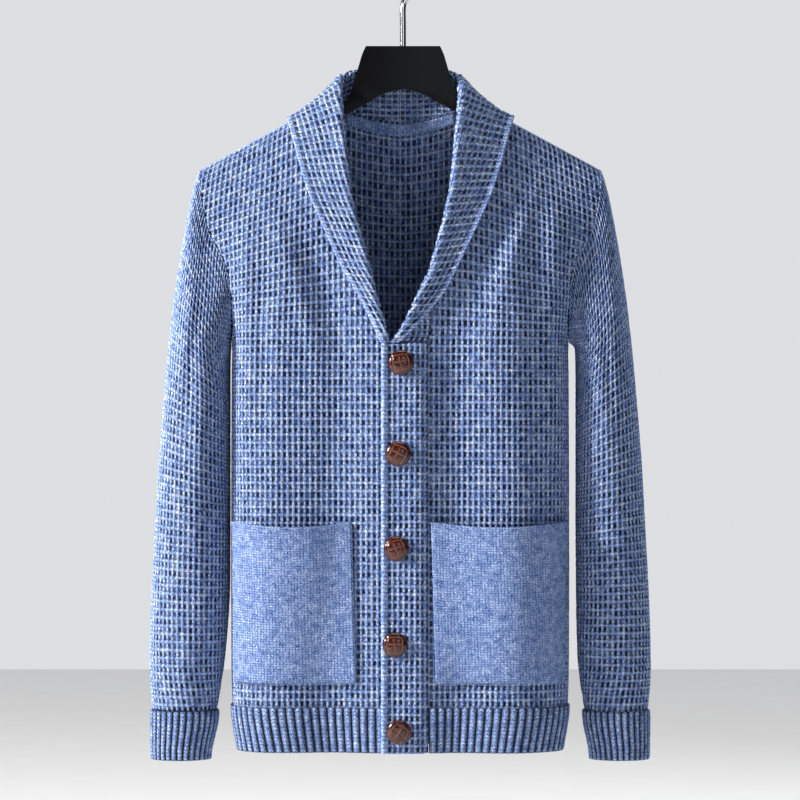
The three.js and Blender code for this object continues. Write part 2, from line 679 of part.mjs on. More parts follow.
const cloth = new THREE.Group();
cloth.position.set(clothAside, 0, clothDown);
cloth.add(wallMesh('back_panel', knitBlue, backPoint, backColumns, panelRows, { facing: -1 }));
for (const side of [1, -1]) {
  cloth.add(makeFront(side), makeSleeve(side), makeCuff(side), makeCollar(side));
}
cloth.add(makeHem('hem_rib_back', 1, -tipX, tipX, 0, -1));
cloth.add(makeHem('hem_rib_left', -1, bandTo + gap, tipX, bandTo + 2, 1));
cloth.add(makeHem('hem_rib_right', -1, underEdge, -tipX, -bandFrom + 2, -1));
cloth.add(makeBand('button_band', bandFrom, bandTo, true));
cloth.add(makeBand('under_band', underEdge + gap, underInner, false));
cloth.add(makeNeckTape());
for (const spec of pockets) cloth.add(makePocket(spec));
buttons.forEach((place, i) => cloth.add(makeButton(place, i + 1)));

const part = new THREE.Group();
part.add(cloth, makeHanger(), makeHook());

export default part;
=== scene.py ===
import math
import bpy
import bmesh
import numpy as np
from mathutils import Matrix, Vector


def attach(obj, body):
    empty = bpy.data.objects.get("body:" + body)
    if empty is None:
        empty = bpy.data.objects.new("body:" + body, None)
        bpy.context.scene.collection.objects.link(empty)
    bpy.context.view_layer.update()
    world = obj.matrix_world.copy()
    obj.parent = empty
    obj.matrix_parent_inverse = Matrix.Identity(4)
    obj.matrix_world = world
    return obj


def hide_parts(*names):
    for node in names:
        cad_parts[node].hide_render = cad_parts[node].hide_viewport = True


# Shawl collar cardigan in waffle knit, hanging on a black hanger.
# Lengths in the tables are millimetres; everything goes to Blender in metres.

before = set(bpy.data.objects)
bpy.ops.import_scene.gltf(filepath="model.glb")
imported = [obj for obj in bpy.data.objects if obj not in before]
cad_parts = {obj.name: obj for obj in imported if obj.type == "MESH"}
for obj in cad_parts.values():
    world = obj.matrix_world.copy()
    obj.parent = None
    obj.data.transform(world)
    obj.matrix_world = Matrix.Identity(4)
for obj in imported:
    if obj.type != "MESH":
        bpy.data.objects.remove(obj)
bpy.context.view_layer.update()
scene = bpy.context.scene
scene.view_settings.view_transform = "Standard"
mm = 0.001
clothPlace = np.array([-3.0, 0.0, -12.0])  # the cloth hangs a little to the side of the hook
print("frame loaded")

# Camera, level and straight on
view = {"centre": (-0.0032, -0.4784), "distance": 4.05, "lens": 169.8}

cameraData = bpy.data.cameras.new("camera")
cameraData.lens = view["lens"]
cameraData.sensor_width = 36
cameraData.clip_end = 50
cameraObject = bpy.data.objects.new("camera", cameraData)
cameraObject.location = (view["centre"][0], -view["distance"], view["centre"][1])
cameraObject.rotation_euler = (math.radians(90), 0, 0)
scene.collection.objects.link(cameraObject)
scene.camera = cameraObject

# The garment's form, the same as in the frame
form = {
    "wall": 3.0,
    "jersey": 2.4,
    "gap": 0.3,
    "hemZ": -840.0,
    "hemTopZ": -792.0,
    "hemSeam": 0.2,         # the panels begin this far above the hem rib
    "sideFrom": 100.0,      # a hem length that goes past this ends at the side seam
    "armpitZ": -405.0,
    "armpitRow": 8 / 18,    # share of a panel's rows that lie below the armpit
    "neckX": 80.0,
    "neckZ": -146.5,
    "tipX": 215.0,
    "tipZ": -220.0,
    "backNeckZ": -167.0,
    "neckCurve": 1.6,
    "hangerRound": 14.0,
    "spreadDrop": 220.0,
    "sideDrop": 120.0,
    "roundness": 3.2,
    "foldTop": 90.0,        # a fold grows over this height and dies out over the next
    "foldBottom": 160.0,
    "bandFrom": -20.0,
    "bandTo": 30.0,
    "underEdge": -17.0,
    "underTo": 20.5,
    "lapTo": 21.0,          # the upper band lies flat on the under one as far as this
}


def columns(names, rows):
    data = np.array(rows, dtype=float)
    return {name: data[:, i] for i, name in enumerate(names.split())}


bodySections = columns("z half front back", [
    (-840, 173, 58, 50), (-792, 179.5, 66, 54), (-700, 181, 68, 55), (-560, 181, 70, 56),
    (-440, 180.5, 71, 56), (-405, 180.5, 71, 56), (-380, 185, 71, 56), (-345, 197, 70, 56),
    (-306, 214, 70, 56), (-250, 238, 70, 56), (-215, 248, 70, 56), (-145, 258, 70, 56),
])
armholeLine = columns("z x", [
    (-405, 180.5), (-395, 179.6), (-380, 179.2), (-345, 181), (-324, 185.5), (-306, 194),
    (-288, 203.5), (-250, 212.5), (-220, 215),
])
# soft folds: face, place, top, bottom, half breadth, height, and a lean for some
bodyFolds = [
    (-1, -168, -240, -620, 13, 7), (-1, -146, -270, -560, 11, -4), (-1, -84, -330, -600, 20, 3),
    (-1, 166, -230, -600, 13, 7), (-1, 143, -260, -520, 12, -4), (-1, 92, -340, -590, 22, 3),
    (1, -150, -250, -640, 16, 6), (1, -70, -230, -560, 24, -4), (1, 10, -210, -620, 26, 4),
    (1, 88, -240, -580, 22, -4), (1, 154, -250, -600, 15, 6),
    # broad swells and dips down both fronts, then small creases from the armholes, low waves
    # above the hem and the folds of the back
    (-1, -148, -230, -1100, 26, 7, 0), (-1, -74, -230, -1100, 30, -9, 0.01),
    (-1, 130, -250, -1100, 38, 9, 0), (-1, 58, -330, -1100, 28, -5, 0),
    (-1, 20, -380, -900, 18, 3, 0),
    (-1, -150, -215, -470, 9, 3.2, 0.30), (-1, -118, -240, -500, 11, -2.6, 0.34),
    (-1, 152, -205, -460, 9, 3.0, -0.30), (-1, 122, -235, -480, 11, -2.6, -0.32),
    (-1, 60, -600, -1000, 16, 1.6, -0.10), (-1, -100, -640, -1000, 18, -1.8, 0.08),
    (1, -105, -200, -460, 11, 3.0, 0.25), (1, 118, -200, -480, 11, 3.0, -0.28),
    (1, -20, -520, -1000, 34, -3.0, 0.05), (1, 130, -560, -1000, 30, 2.6, -0.04),
]
sleeveRings = columns("v outX outZ inX inZ deep", [
    (0, 215.4, -220, 180.9, -405, 46), (0.04, 219, -230, 182.6, -407, 47),
    (0.1, 225.5, -256, 183.6, -411, 49), (0.2, 235, -307, 184.2, -421, 51),
    (0.3, 243, -360, 184.5, -437, 52), (0.4, 249, -413, 184.5, -463, 52),
    (0.5, 254, -468, 184.5, -502, 51), (0.6, 259, -530, 184.5, -552, 49),
    (0.7, 263, -600, 184.5, -610, 46), (0.8, 267, -675, 185, -678, 43),
    (0.9, 269, -740, 186.5, -740, 39), (0.95, 268.5, -770, 189.5, -770, 36.5),
    (1, 266, -798, 194, -798, 34),
])
cuffForm = {"topZ": -798.4, "bottomZ": -851, "outX": 265.5, "inX": 204.5, "deep": 28}
# collar sections: neck seam x and z, roll line x and z and its lift, outer edge x and z, and the
# radius of the fold; where the seam has no z it follows the back neck
collarLow = {
    1: [(30, -405, -9.5, -405, 3.6, -1, -405, 2.4), (31.5, -397, -3, -397, 4.4, 8, -397, 2.8),
        (33.5, -385, 4, -385, 5.5, 20, -384, 3.4), (36, -371, 11, -371, 6.5, 33, -369, 4),
        (40, -350, 20.5, -350, 7.5, 50, -347, 4.4)],
    -1: [(17.6, -405, 12, -405, 3.6, 21, -405, 2.4), (21.5, -397, 13.5, -397, 4.4, 24, -397, 2.8),
         (26, -385, 16.5, -385, 5.5, 29.5, -384, 3.4), (31.5, -371, 20.5, -371, 6.5, 36.5, -369, 4),
         (38.5, -350, 26.5, -350, 7.5, 48, -347, 4.4)],
}
collarNeck = [
    (44, -329, 31, -329, 8.5, 61, -326, 4.5), (48.5, -307, 37, -307, 9, 72.5, -303, 4.5),
    (54, -280, 44.5, -280, 9.5, 84, -277, 4.5), (59.5, -254, 50.5, -254, 10, 95, -252, 4.5),
    (64.5, -228, 54.5, -228, 10, 103, -228, 4.5), (69.5, -201, 57, -201, 10, 109.5, -205, 4.5),
    (73.5, -180, 59.5, -178, 10, 114, -188, 4.5), (77, -162, 61.5, -155, 9, 117.5, -175, 4.5),
    (79, -151.5, 62.5, -142, 8.5, 119, -169, 4.5), (80, -146.5, 63, -131, 8, 120, -165, 4.5),
]
collarBack = [
    (78, None, 62.6, -123.5, -2.7, 118, -169.5, 4.5), (74, None, 61.5, -118, 3, 114, -178, 4.5),
    (60, None, 53, -112.5, 4, 96, -184, 4.5), (40, None, 37, -110, 4.5, 68, -187, 4.5),
    (20, None, 19, -109, 4.5, 34, -188.5, 4.5), (0.1, None, 0.1, -108.5, 4.5, 0.1, -189, 4.5),
]


def mix(a, b, t):
    return a + (b - a) * t


def smooth(t):
    t = np.clip(t, 0, 1)
    return t * t * (3 - 2 * t)


def along(rows, key, column, at):  # smooth curve through a table's rows
    keys, values = rows[key], rows[column]
    last = len(keys) - 1
    x = np.clip(at, keys[0], keys[-1])
    i = np.clip(np.searchsorted(keys, x, side="left") - 1, 0, last - 1)
    before, after = np.maximum(i - 1, 0), np.minimum(i + 2, last)
    slopeA = (values[i + 1] - values[before]) / (keys[i + 1] - keys[before])
    slopeB = (values[after] - values[i]) / (keys[after] - keys[i])
    span = keys[i + 1] - keys[i]
    t = (x - keys[i]) / span
    ease = t * (1 - t) ** 2 * slopeA - t * t * (1 - t) * slopeB
    return mix(values[i], values[i + 1], t * t * (3 - 2 * t)) + span * ease


def place(x, y, z):
    return np.stack(np.broadcast_arrays(x, y, z), axis=-1).astype(float)


def unit(vectors):
    return vectors / np.maximum(np.linalg.norm(vectors, axis=-1, keepdims=True), 1e-12)


def shoulderZ(x):
    f = form
    reach = np.maximum(0, np.abs(x) - f["neckX"]) / (f["tipX"] - f["neckX"])
    return f["neckZ"] + (f["tipZ"] - f["neckZ"]) * reach


def backNeck(x):
    rise = np.abs(x) / form["neckX"]
    return form["backNeckZ"] + (form["neckZ"] - form["backNeckZ"]) * rise ** form["neckCurve"]


def depth(x, z, face):
    f = form
    drop = np.maximum(0, shoulderZ(x) - z)
    reach = np.minimum(1, np.abs(x) / along(bodySections, "z", "half", z))
    side = (1 - reach ** f["roundness"]) ** (1 / f["roundness"])
    full = along(bodySections, "z", "front" if face < 0 else "back", z)
    over = f["hangerRound"] * np.sqrt(1 - (1 - np.minimum(1, drop / f["hangerRound"])) ** 2)
    spread = np.sin(np.pi / 2 * np.minimum(1, drop / f["spreadDrop"]))
    folds = 0
    for foldFace, foldX, top, bottom, broad, high, *lean in bodyFolds:
        if foldFace == face:
            down = smooth((top - z) / f["foldTop"]) * smooth((z - bottom) / f["foldBottom"])
            middle = foldX + (lean[0] * (top - z) if lean else 0)
            folds = folds + high * np.exp(-(((x - middle) / broad) ** 2)) * down
    rounded = over * (1 - smooth(drop / f["sideDrop"]) * (1 - side))
    return rounded + ((full - f["hangerRound"]) * spread + folds) * side


def bodyPoint(x, z, face):
    return place(x, face * (depth(x, z, face) + form["gap"] / 2), z)


def bodyNormal(x, z, face):
    byX = depth(x + 0.5, z, face) - depth(x - 0.5, z, face)
    byZ = depth(x, z + 0.5, face) - depth(x, z - 0.5, face)
    return unit(place(-byX, face, -byZ))


def onBody(x, z, face, out):
    out = np.asarray(out, dtype=float)
    return bodyPoint(x, z, face) + bodyNormal(x, z, face) * out[..., None]


def rowHeight(v, topZ):
    share = form["armpitRow"]
    rise = (1 - np.cos(np.pi * np.clip((v - share) / (1 - share), 0, 1))) / 2
    low = mix(form["hemTopZ"] + form["hemSeam"], form["armpitZ"], np.minimum(1, v / share))
    return np.where(v <= share, low, mix(form["armpitZ"], topZ, rise))


def edgeX(z):
    half = along(bodySections, "z", "half", z)
    return np.where(z <= form["armpitZ"], half, along(armholeLine, "z", "x", z))


# Collar curves
collarForm = {
    "stand": 0.28, "fold": 0.22,                # shares of its width in the stand and the roll
    "apart": {1: 1.0, -1: 0.6},                 # gap at the neck seam, behind and in front
    "crossX": 70, "crossGap": 2.9,              # a wider gap where it crosses the shoulder seam
    "crossNormal": (0.48, 0.88),
    "leadHigh": 0.7, "leadLow": 0.2, "leadFrom": -150,
    "clear": {1: 1.5, -1: 0.9},                 # least room under the fall, behind and in front
    "lift": {1: 4.0, -1: 1.8}, "liftFrom": -397, "liftOver": 60,  # the free edge's, by side
    "bend": 0.5, "step": 0.002, "seamSteps": 600, "seamRoom": 0.8,
}


def catmull(points, t):
    last = len(points) - 1
    i = np.clip(np.floor(np.asarray(t) * last).astype(int), 0, last - 1)
    w = (np.asarray(t) * last - i)[..., None]
    rows = np.vstack([2 * points[0] - points[1], points, 2 * points[-1] - points[-2]])
    a, b = rows[i + 1], rows[i + 2]
    slopeA, slopeB = 0.5 * (b - rows[i]), 0.5 * (rows[i + 3] - a)
    cubic = (2 * a - 2 * b + slopeA + slopeB) * w ** 3
    return cubic + (3 * b - 3 * a - 2 * slopeA - slopeB) * w ** 2 + slopeA * w + a


def collarCurves(side):
    c, wall, gap = collarForm, form["wall"], form["gap"]
    seams, rolls, edges, radii = [], [], [], []
    rows = collarLow[side] + collarNeck + collarBack
    for sx, sz, rx, rz, lift, ex, ez, fold in rows:
        face = 1 if sz is None else -1
        sz = backNeck(sx) if sz is None else float(sz)
        normal = bodyNormal(side * sx, sz, face)
        if sz == form["neckZ"]:
            normal = unit(np.array([side * c["crossNormal"][0], 0, c["crossNormal"][1]]))
        upward = c["leadHigh"] if sz > c["leadFrom"] else c["leadLow"]
        lead = [0, 0, 1] if face > 0 else [-side, 0, upward]
        apart = c["apart"][face] * (c["crossGap"] if sx > c["crossX"] else 1)
        seam = bodyPoint(side * sx, sz, face) - normal * wall / 2
        seams.append(seam + unit(np.array(lead, dtype=float)) * apart)
        rolls.append([side * rx, face * (float(depth(side * sx, sz, face)) + lift), rz])
        share = (sx - ex) / (sx - rx) if sx > rx else 0
        stand = mix(-wall / 2, lift - fold, share) if share > 0 else -wall
        clear = max(wall / 2 + c["clear"][face], stand + wall + gap)
        if face < 0:  # the free edge stands off the front, most on the wearer's left
            clear += c["lift"][side] * smooth((float(ez) - c["liftFrom"]) / c["liftOver"])
        edges.append(onBody(float(side * ex), float(ez), face, clear))
        radii.append(fold)
    return {
        "seam": np.array(seams), "roll": np.array(rolls), "edge": np.array(edges),
        "radius": columns("w fold", [(i / (len(rows) - 1), r) for i, r in enumerate(radii)]),
        "neckAt": (len(rows) - 1 - len(collarBack)) / (len(rows) - 1),
    }


collars = {side: collarCurves(side) for side in (1, -1)}


def collarPoint(side, w, v):
    c, e = collars[side], collarForm["step"]
    w, v = np.broadcast_arrays(w, v)
    seam, roll, edge = (catmull(c[name], w) for name in ("seam", "roll", "edge"))
    ahead = catmull(c["roll"], np.minimum(1, w + e)) - catmull(c["roll"], np.maximum(0, w - e))
    tangent = np.where((w > 1 - e)[..., None], np.array([-side, 0.0, 0.0]), ahead)
    away = unit((seam + edge) / 2 - roll)
    up = unit(np.cross(tangent, away) * -side)
    radius = along(c["radius"], "w", "fold", w)[..., None]
    centre = roll + away * radius
    stand, fold = collarForm["stand"], collarForm["fold"]
    inEnd, outEnd = centre - up * radius, centre + up * radius
    onStand = mix(seam, inEnd, (v / stand)[..., None])
    turn = (np.pi * (v - stand) / fold)[..., None]
    onFold = centre - up * radius * np.cos(turn) - away * radius * np.sin(turn)
    t = ((v - stand - fold) / (1 - stand - fold))[..., None]
    reach = np.linalg.norm(outEnd - edge, axis=-1, keepdims=True)
    bend = outEnd + away * reach * collarForm["bend"]
    onFall = mix(mix(outEnd, bend, t), mix(bend, edge, t), t)
    v = v[..., None]
    return np.where(v <= stand, onStand, np.where(v <= stand + fold, onFold, onFall))


seamRows = {}
for side in (1, -1):
    w = np.linspace(0, collars[side]["neckAt"], collarForm["seamSteps"])
    seamRows[side] = catmull(collars[side]["seam"], w)


def frontEdgeX(side, z):  # edge of a front along the band and up the collar seam
    low = form["bandTo"] + form["gap"] if side > 0 else -form["underEdge"]
    rows = seamRows[side]
    seam = np.interp(z, rows[:, 2], np.abs(rows[:, 0])) + collarForm["seamRoom"]
    return np.where(z <= form["armpitZ"], low, np.minimum(form["neckX"], seam))


# Surfaces of the pieces, across a from 0 to 1 and along v from 0 to 1
def frontPoint(side, a, v):
    across = np.sin(np.asarray(a) * np.pi / 2)
    innerZ, outerZ = rowHeight(v, form["neckZ"]), rowHeight(v, form["tipZ"])
    x = side * mix(frontEdgeX(side, innerZ), edgeX(outerZ), across)
    return bodyPoint(x, mix(innerZ, outerZ, across), -1)


def backPoint(a, v):
    across = np.sin((2 * np.asarray(a) - 1) * np.pi / 2)
    topX = np.abs(form["tipX"] * across)
    topZ = np.where(topX < form["neckX"], backNeck(topX), shoulderZ(topX))
    return bodyPoint(edgeX(rowHeight(v, form["tipZ"])) * across, rowHeight(v, topZ), 1)


def armholePoint(side, a):
    turn = np.where(a <= 0.5, a * 2, 2 - a * 2)
    z = rowHeight(mix(1, form["armpitRow"], turn), form["tipZ"])
    front, back = (bodyPoint(side * edgeX(z), z, face) for face in (-1, 1))
    point = np.where((a <= 0.5)[..., None], front, back)
    point[..., 1] = np.where((turn < 0.001) | (turn > 0.999), 0, point[..., 1])
    point[..., 0] += side * mix(2, 3, smooth(turn * 2 - 1)) * form["gap"]
    return point


sleeveFit = {
    "ease": {1: 3.6, -1: 2.4}, "easeBy": 0.12,  # the inner line stands off the body, by side
    "against": 4.9, "againstTo": 0.97, "againstFade": 0.2,  # the right sleeve lies against it
    "seamFade": 0.32,   # the armhole's own shape dies out by here
    "creaseTurn": 3, "creaseShift": {1: 0, -1: 0.05}, "shiftWave": 9,
}
# soft creases of the sleeves: place round the arm, place down it, half breadths, height
sleeveCreases = [
    (0.16, 0.30, 0.030, 0.10, 3.2), (0.24, 0.40, 0.028, 0.13, -3.0), (0.36, 0.22, 0.030, 0.09, 3.0),
    (0.33, 0.55, 0.034, 0.10, 2.6), (0.13, 0.66, 0.040, 0.10, -2.4), (0.30, 0.80, 0.050, 0.06, 2.2),
    (0.20, 0.92, 0.060, 0.035, 2.0), (0.70, 0.30, 0.034, 0.11, 3.0), (0.80, 0.45, 0.034, 0.10, -2.8),
    (0.66, 0.60, 0.040, 0.09, 2.6), (0.78, 0.78, 0.044, 0.08, 2.4), (0.90, 0.36, 0.030, 0.09, 2.2),
    (0.07, 0.46, 0.030, 0.11, 2.0),
]


def sleevePoint(side, a, v):
    a, v = np.broadcast_arrays(a, v)
    wrapped = a - np.floor(a)
    outward = (1 + np.cos(2 * np.pi * a)) / 2
    sway = np.sin(2 * np.pi * a)

    def ring(outX, outZ, inX, inZ, deep):
        return place(side * mix(inX, outX, outward), -deep * sway, mix(inZ, outZ, outward))

    fit = sleeveFit
    row = {name: along(sleeveRings, "v", name, v) for name in sleeveRings if name != "v"}
    first = {name: sleeveRings[name][0] for name in row}
    row["inX"] = row["inX"] + fit["ease"][side] * smooth(v / fit["easeBy"])
    if side < 0:  # this sleeve lies against the body down to the hip
        until = smooth((fit["againstTo"] - v) / fit["againstFade"])
        row["inX"] = row["inX"] - fit["against"] * smooth(v / fit["easeBy"]) * until
    row["deep"] = row["deep"] * np.ones_like(a)
    for creaseA, creaseV, halfA, halfV, high in sleeveCreases:
        middle = creaseA + fit["creaseShift"][side] * np.sin(fit["shiftWave"] * creaseV)
        near = ((wrapped - middle) / halfA + (v - creaseV) * fit["creaseTurn"]) ** 2
        row["deep"] = row["deep"] + high * np.exp(-near - ((v - creaseV) / halfV) ** 2)
    seam = armholePoint(side, wrapped) - ring(**first)
    return ring(**row) + seam * (1 - smooth(v / fit["seamFade"]))[..., None]


def cuffPoint(side, a, v):
    a, v = np.broadcast_arrays(a, v)
    top = {name: sleeveRings[name][-1] for name in ("outX", "inX", "deep")}
    outX = mix(top["outX"], cuffForm["outX"], v)
    inX = mix(top["inX"], cuffForm["inX"], smooth(v)) + sleeveFit["ease"][side] * (1 - v)
    x = mix(inX, outX, (1 + np.cos(2 * np.pi * a)) / 2)
    y = -mix(top["deep"], cuffForm["deep"], v) * np.sin(2 * np.pi * a)
    return place(side * x, y, mix(cuffForm["topZ"], cuffForm["bottomZ"], v))


def hemPoint(face, fromX, toX, a, v):
    z = mix(form["hemZ"], form["hemTopZ"], v) + 0 * np.asarray(a)
    half = along(bodySections, "z", "half", z)

    def turn(x):
        if abs(x) > form["sideFrom"]:
            return np.sign(x) * np.pi / 2
        return np.arcsin(np.clip(x / half, -1, 1))

    return bodyPoint(half * np.sin(mix(turn(fromX), turn(toX), a)), z, face)


def bandLift(x):  # the upper band laps the under one and steps down at its seam
    lap = form["wall"] + 2 * form["gap"]
    return lap * (1 - smooth((x - form["lapTo"]) / (form["bandTo"] - form["lapTo"])))


def bandPoint(fromX, toX, lifted, a, v):
    x = mix(fromX, toX, a) + 0 * np.asarray(v)
    z = mix(form["hemZ"], form["armpitZ"] - 1, v) + 0 * np.asarray(a)
    return onBody(x, z, -1, bandLift(x) if lifted else 0 * x)


pocketShape = {
    "bottomZ": -766, "topZ": -595, "dip": 5, "bulge": 10, "clear": 0.9,
    "roll": 1.3, "rollAt": 2.4, "rollHalf": 2.0,  # the rolled top edge
    "column": 2.6, "row": 3.2, "rows": (0, 155, 50), "rimRows": (156.2, 173.5, 16), "thin": 0.4,
}
pocketForms = {
    "pocket_left": {"side": 1, "inTop": 31.5, "inBottom": 37, "outTop": 174.5, "outBottom": 172},
    "pocket_right": {"side": -1, "inTop": 50, "inBottom": 46, "outTop": 176, "outBottom": 175},
}


def pocketPoint(name, a, v):
    p, s = pocketForms[name], pocketShape
    a, v = np.broadcast_arrays(a, v)
    inX, outX = mix(p["inBottom"], p["inTop"], v), mix(p["outBottom"], p["outTop"], v)
    bow = np.sin(np.pi * np.clip(a, 0, 1))
    z = mix(s["bottomZ"], s["topZ"] - s["dip"] * bow, v)
    bulge = s["bulge"] * bow ** 0.7 * np.sin(np.pi / 2 * v) ** 0.6
    below = (1 - v) * (s["topZ"] - s["bottomZ"])
    roll = s["roll"] * np.exp(-((below - s["rollAt"]) / s["rollHalf"]) ** 2)
    out = form["jersey"] + s["clear"] + bulge + roll
    return onBody(p["side"] * mix(inX, outX, a), z, -1, out)


tapeForm = {"half": 58, "from": 14, "to": 1.5, "grid": 2.4, "thick": 1.1}


def tapePoint(a, v):
    x = mix(-tapeForm["half"], tapeForm["half"], a) + 0 * np.asarray(v)
    z = backNeck(x) - mix(tapeForm["from"], tapeForm["to"], v)
    return onBody(x, z, 1, -form["wall"] - 2 * form["gap"] + 0 * x)


print("form ready")

# Cloth pieces
knit = {
    "column": 6.0,       # width of one waffle cell
    "row": 8.5,          # height of one waffle cell
    "samples": 3,        # grid steps in a cell
    "relief": 1.9,       # depth of the pits
    "crossRidge": 0.85,  # height of the level ridges against the upright ones
    "edge": 0.2,         # height along a cut edge, drawn in by its seam
    "uneven": 0.12,      # no two stitches are quite alike
    "thick": 1.5,
}
measuring = {"down": 1200, "across": 700, "step": 1e-3, "weld": 2e-5}


def arcs(points):  # running length along each row of points
    steps = np.linalg.norm(np.diff(points, axis=1), axis=-1)
    return np.concatenate([np.zeros((len(points), 1)), np.cumsum(steps, axis=1)], axis=1)


def lattice(surface, zero, stepAcross, stepDown, span=(0.0, 1.0), middle=0.5, rows=None):
    # rows evenly spaced down the piece, measured along its middle
    fineV = np.linspace(0, 1, measuring["down"])
    mid = surface(np.full_like(fineV, middle), fineV)
    length = arcs(mid[None])[0]
    if rows is None:
        count = max(2, round(length[-1] / stepDown))
        rows = np.linspace(0, length[-1], count + 1)
    v = np.interp(rows, length, fineV)
    # columns at a constant distance from the piece's own upright line, cut off at its edges
    fineA = np.linspace(span[0], span[1], measuring["across"])
    found = surface(fineA[None, :], v[:, None])
    run = arcs(found)
    run = run - zero(v, fineA, run)[:, None]
    if stepAcross > 0:
        first = math.ceil(run[:, 0].min() / stepAcross - 1e-6) - 1
        last = math.floor(run[:, -1].max() / stepAcross + 1e-6) + 1
        wanted = np.arange(first, last + 1) * stepAcross
        places = np.clip(wanted[None, :], run[:, :1], run[:, -1:])
        cut = np.abs(places - wanted[None, :]) > 1e-6
    else:  # a fixed number of columns, as for ribs
        share = np.linspace(0, 1, -stepAcross + 1)
        places = mix(run[:, :1], run[:, -1:], share[None, :])
        first, cut = 0, np.zeros(places.shape, bool)
    a = np.stack([np.interp(places[i], run[i], fineA) for i in range(len(v))])
    vv = np.broadcast_to(v[:, None], a.shape)
    e = measuring["step"]
    lowV, highV = np.maximum(vv - e, 0), np.minimum(vv + e, 1)
    inside = np.clip(a, span[0] + 2 * e, span[1] - 2 * e)
    byA = surface(inside + e, vv) - surface(inside - e, vv)
    byV = surface(inside, highV) - surface(inside, lowV)
    normal = unit(np.cross(byA, byV))
    widths = run[:, -1] - run[:, 0]
    flat = {"width": float(widths.max()), "length": float(length[-1]),
            "area": float(widths.mean() * length[-1])}
    return {"points": surface(a, vv), "normal": normal, "u": places, "v": rows, "cut": cut,
            "column": np.arange(a.shape[1]) + first, "flat": flat}


def waffle(grid, seed):  # height of the knit at each grid point, 0 in a pit and 1 on a ridge
    rng = np.random.default_rng(seed)
    upright = (grid["column"] % knit["samples"] == 0)[None, :]
    level = (np.arange(len(grid["v"])) % knit["samples"] == 0)[:, None]
    high = np.maximum(upright * 1.0, level * knit["crossRidge"])
    high = high * (1 + knit["uneven"] * rng.standard_normal(high.shape))
    return np.where(grid["cut"], knit["edge"], np.minimum(high, 1))


def clothPiece(name, grid, facing, material, height, thick):
    rows, cols = grid["points"].shape[:2]
    bm = bmesh.new()
    bmesh.ops.create_grid(bm, x_segments=cols - 1, y_segments=rows - 1, size=1)
    bm.verts.index_update()
    where = np.array([vertex.co[:2] for vertex in bm.verts])
    i = np.rint((where[:, 0] + 1) / 2 * (cols - 1)).astype(int)
    j = np.rint((where[:, 1] + 1) / 2 * (rows - 1)).astype(int)
    lifted = grid["normal"] * facing * height[..., None]
    points = (grid["points"] + lifted + clothPlace) * mm
    uvLayer = bm.loops.layers.uv.new("knit")
    u, v = grid["u"][j, i] * mm, grid["v"][j] * mm
    for vertex, at in zip(bm.verts, points[j, i]):
        vertex.co = at
    for face in bm.faces:
        for loop in face.loops:
            k = loop.vert.index
            loop[uvLayer].uv = (u[k], v[k])
    if facing < 0:
        bmesh.ops.reverse_faces(bm, faces=bm.faces)
    bmesh.ops.remove_doubles(bm, verts=bm.verts, dist=measuring["weld"])
    for face in bm.faces:
        face.smooth = True
    mesh = bpy.data.meshes.new(name)
    bm.to_mesh(mesh)
    bm.free()
    piece = bpy.data.objects.new(name, mesh)
    scene.collection.objects.link(piece)
    mesh.materials.append(material)
    wallOf = piece.modifiers.new("wall", "SOLIDIFY")
    wallOf.thickness = thick * mm
    wallOf.offset = -1
    return piece


# Materials
def linear(code):  # sRGB hex to the linear colour that Blender wants
    parts = [int(code[i:i + 2], 16) / 255 for i in (1, 3, 5)]
    low = [c / 12.92 if c <= 0.04045 else ((c + 0.055) / 1.055) ** 2.4 for c in parts]
    return (*low, 1.0)


def plug(tree, node, inputs):  # links a socket that is given, and sets any other value
    for key, value in inputs.items():
        if isinstance(value, bpy.types.NodeSocket):
            tree.links.new(value, node.inputs[key])
        else:
            node.inputs[key].default_value = value
    return node


def addNode(tree, kind, inputs=None, **settings):
    node = tree.nodes.new(kind)
    for name, value in settings.items():
        setattr(node, name, value)
    return plug(tree, node, inputs or {})


def newMaterial(name):  # with its node tree, its shader and the place on the piece
    material = bpy.data.materials.new(name)
    material.use_nodes = True
    tree = material.node_tree
    onPiece = addNode(tree, "ShaderNodeTexCoord").outputs["Object"]
    return material, tree, tree.nodes["Principled BSDF"], onPiece


marl = {
    "fleckShare": 0.75, "blotchShare": 0.25, "stops": (0.36, 0.5, 0.64), "fibre": 0.6,
    "specular": 0.25, "sheenRoughness": 0.55,
}


def marlColour(tree, spec, onPiece):  # yarn spun from three blues: fine flecks over slow blotches
    fleck = addNode(tree, "ShaderNodeTexNoise", {
        "Vector": onPiece, "Scale": 1 / (spec["fleck"] * mm), "Detail": 3.0, "Roughness": 0.65})
    blotch = addNode(tree, "ShaderNodeTexNoise", {
        "Vector": onPiece, "Scale": 1 / (spec["blotch"] * mm), "Detail": 2.0})
    both = addNode(tree, "ShaderNodeMath", {
        0: fleck.outputs["Fac"], 1: marl["fleckShare"], 2: 0.0}, operation="MULTIPLY_ADD")
    total = addNode(tree, "ShaderNodeMath", {
        0: blotch.outputs["Fac"], 1: marl["blotchShare"], 2: both.outputs[0]},
        operation="MULTIPLY_ADD")
    ramp = addNode(tree, "ShaderNodeValToRGB", {"Fac": total.outputs[0]})
    stops = ramp.color_ramp.elements
    darkAt, middleAt, lightAt = marl["stops"]
    stops[0].position, stops[0].color = darkAt, linear(spec["dark"])
    stops[1].position, stops[1].color = lightAt, linear(spec["light"])
    middle = stops.new(middleAt)
    middle.color = linear(spec["middle"])
    return ramp.outputs["Color"], fleck.outputs["Fac"]


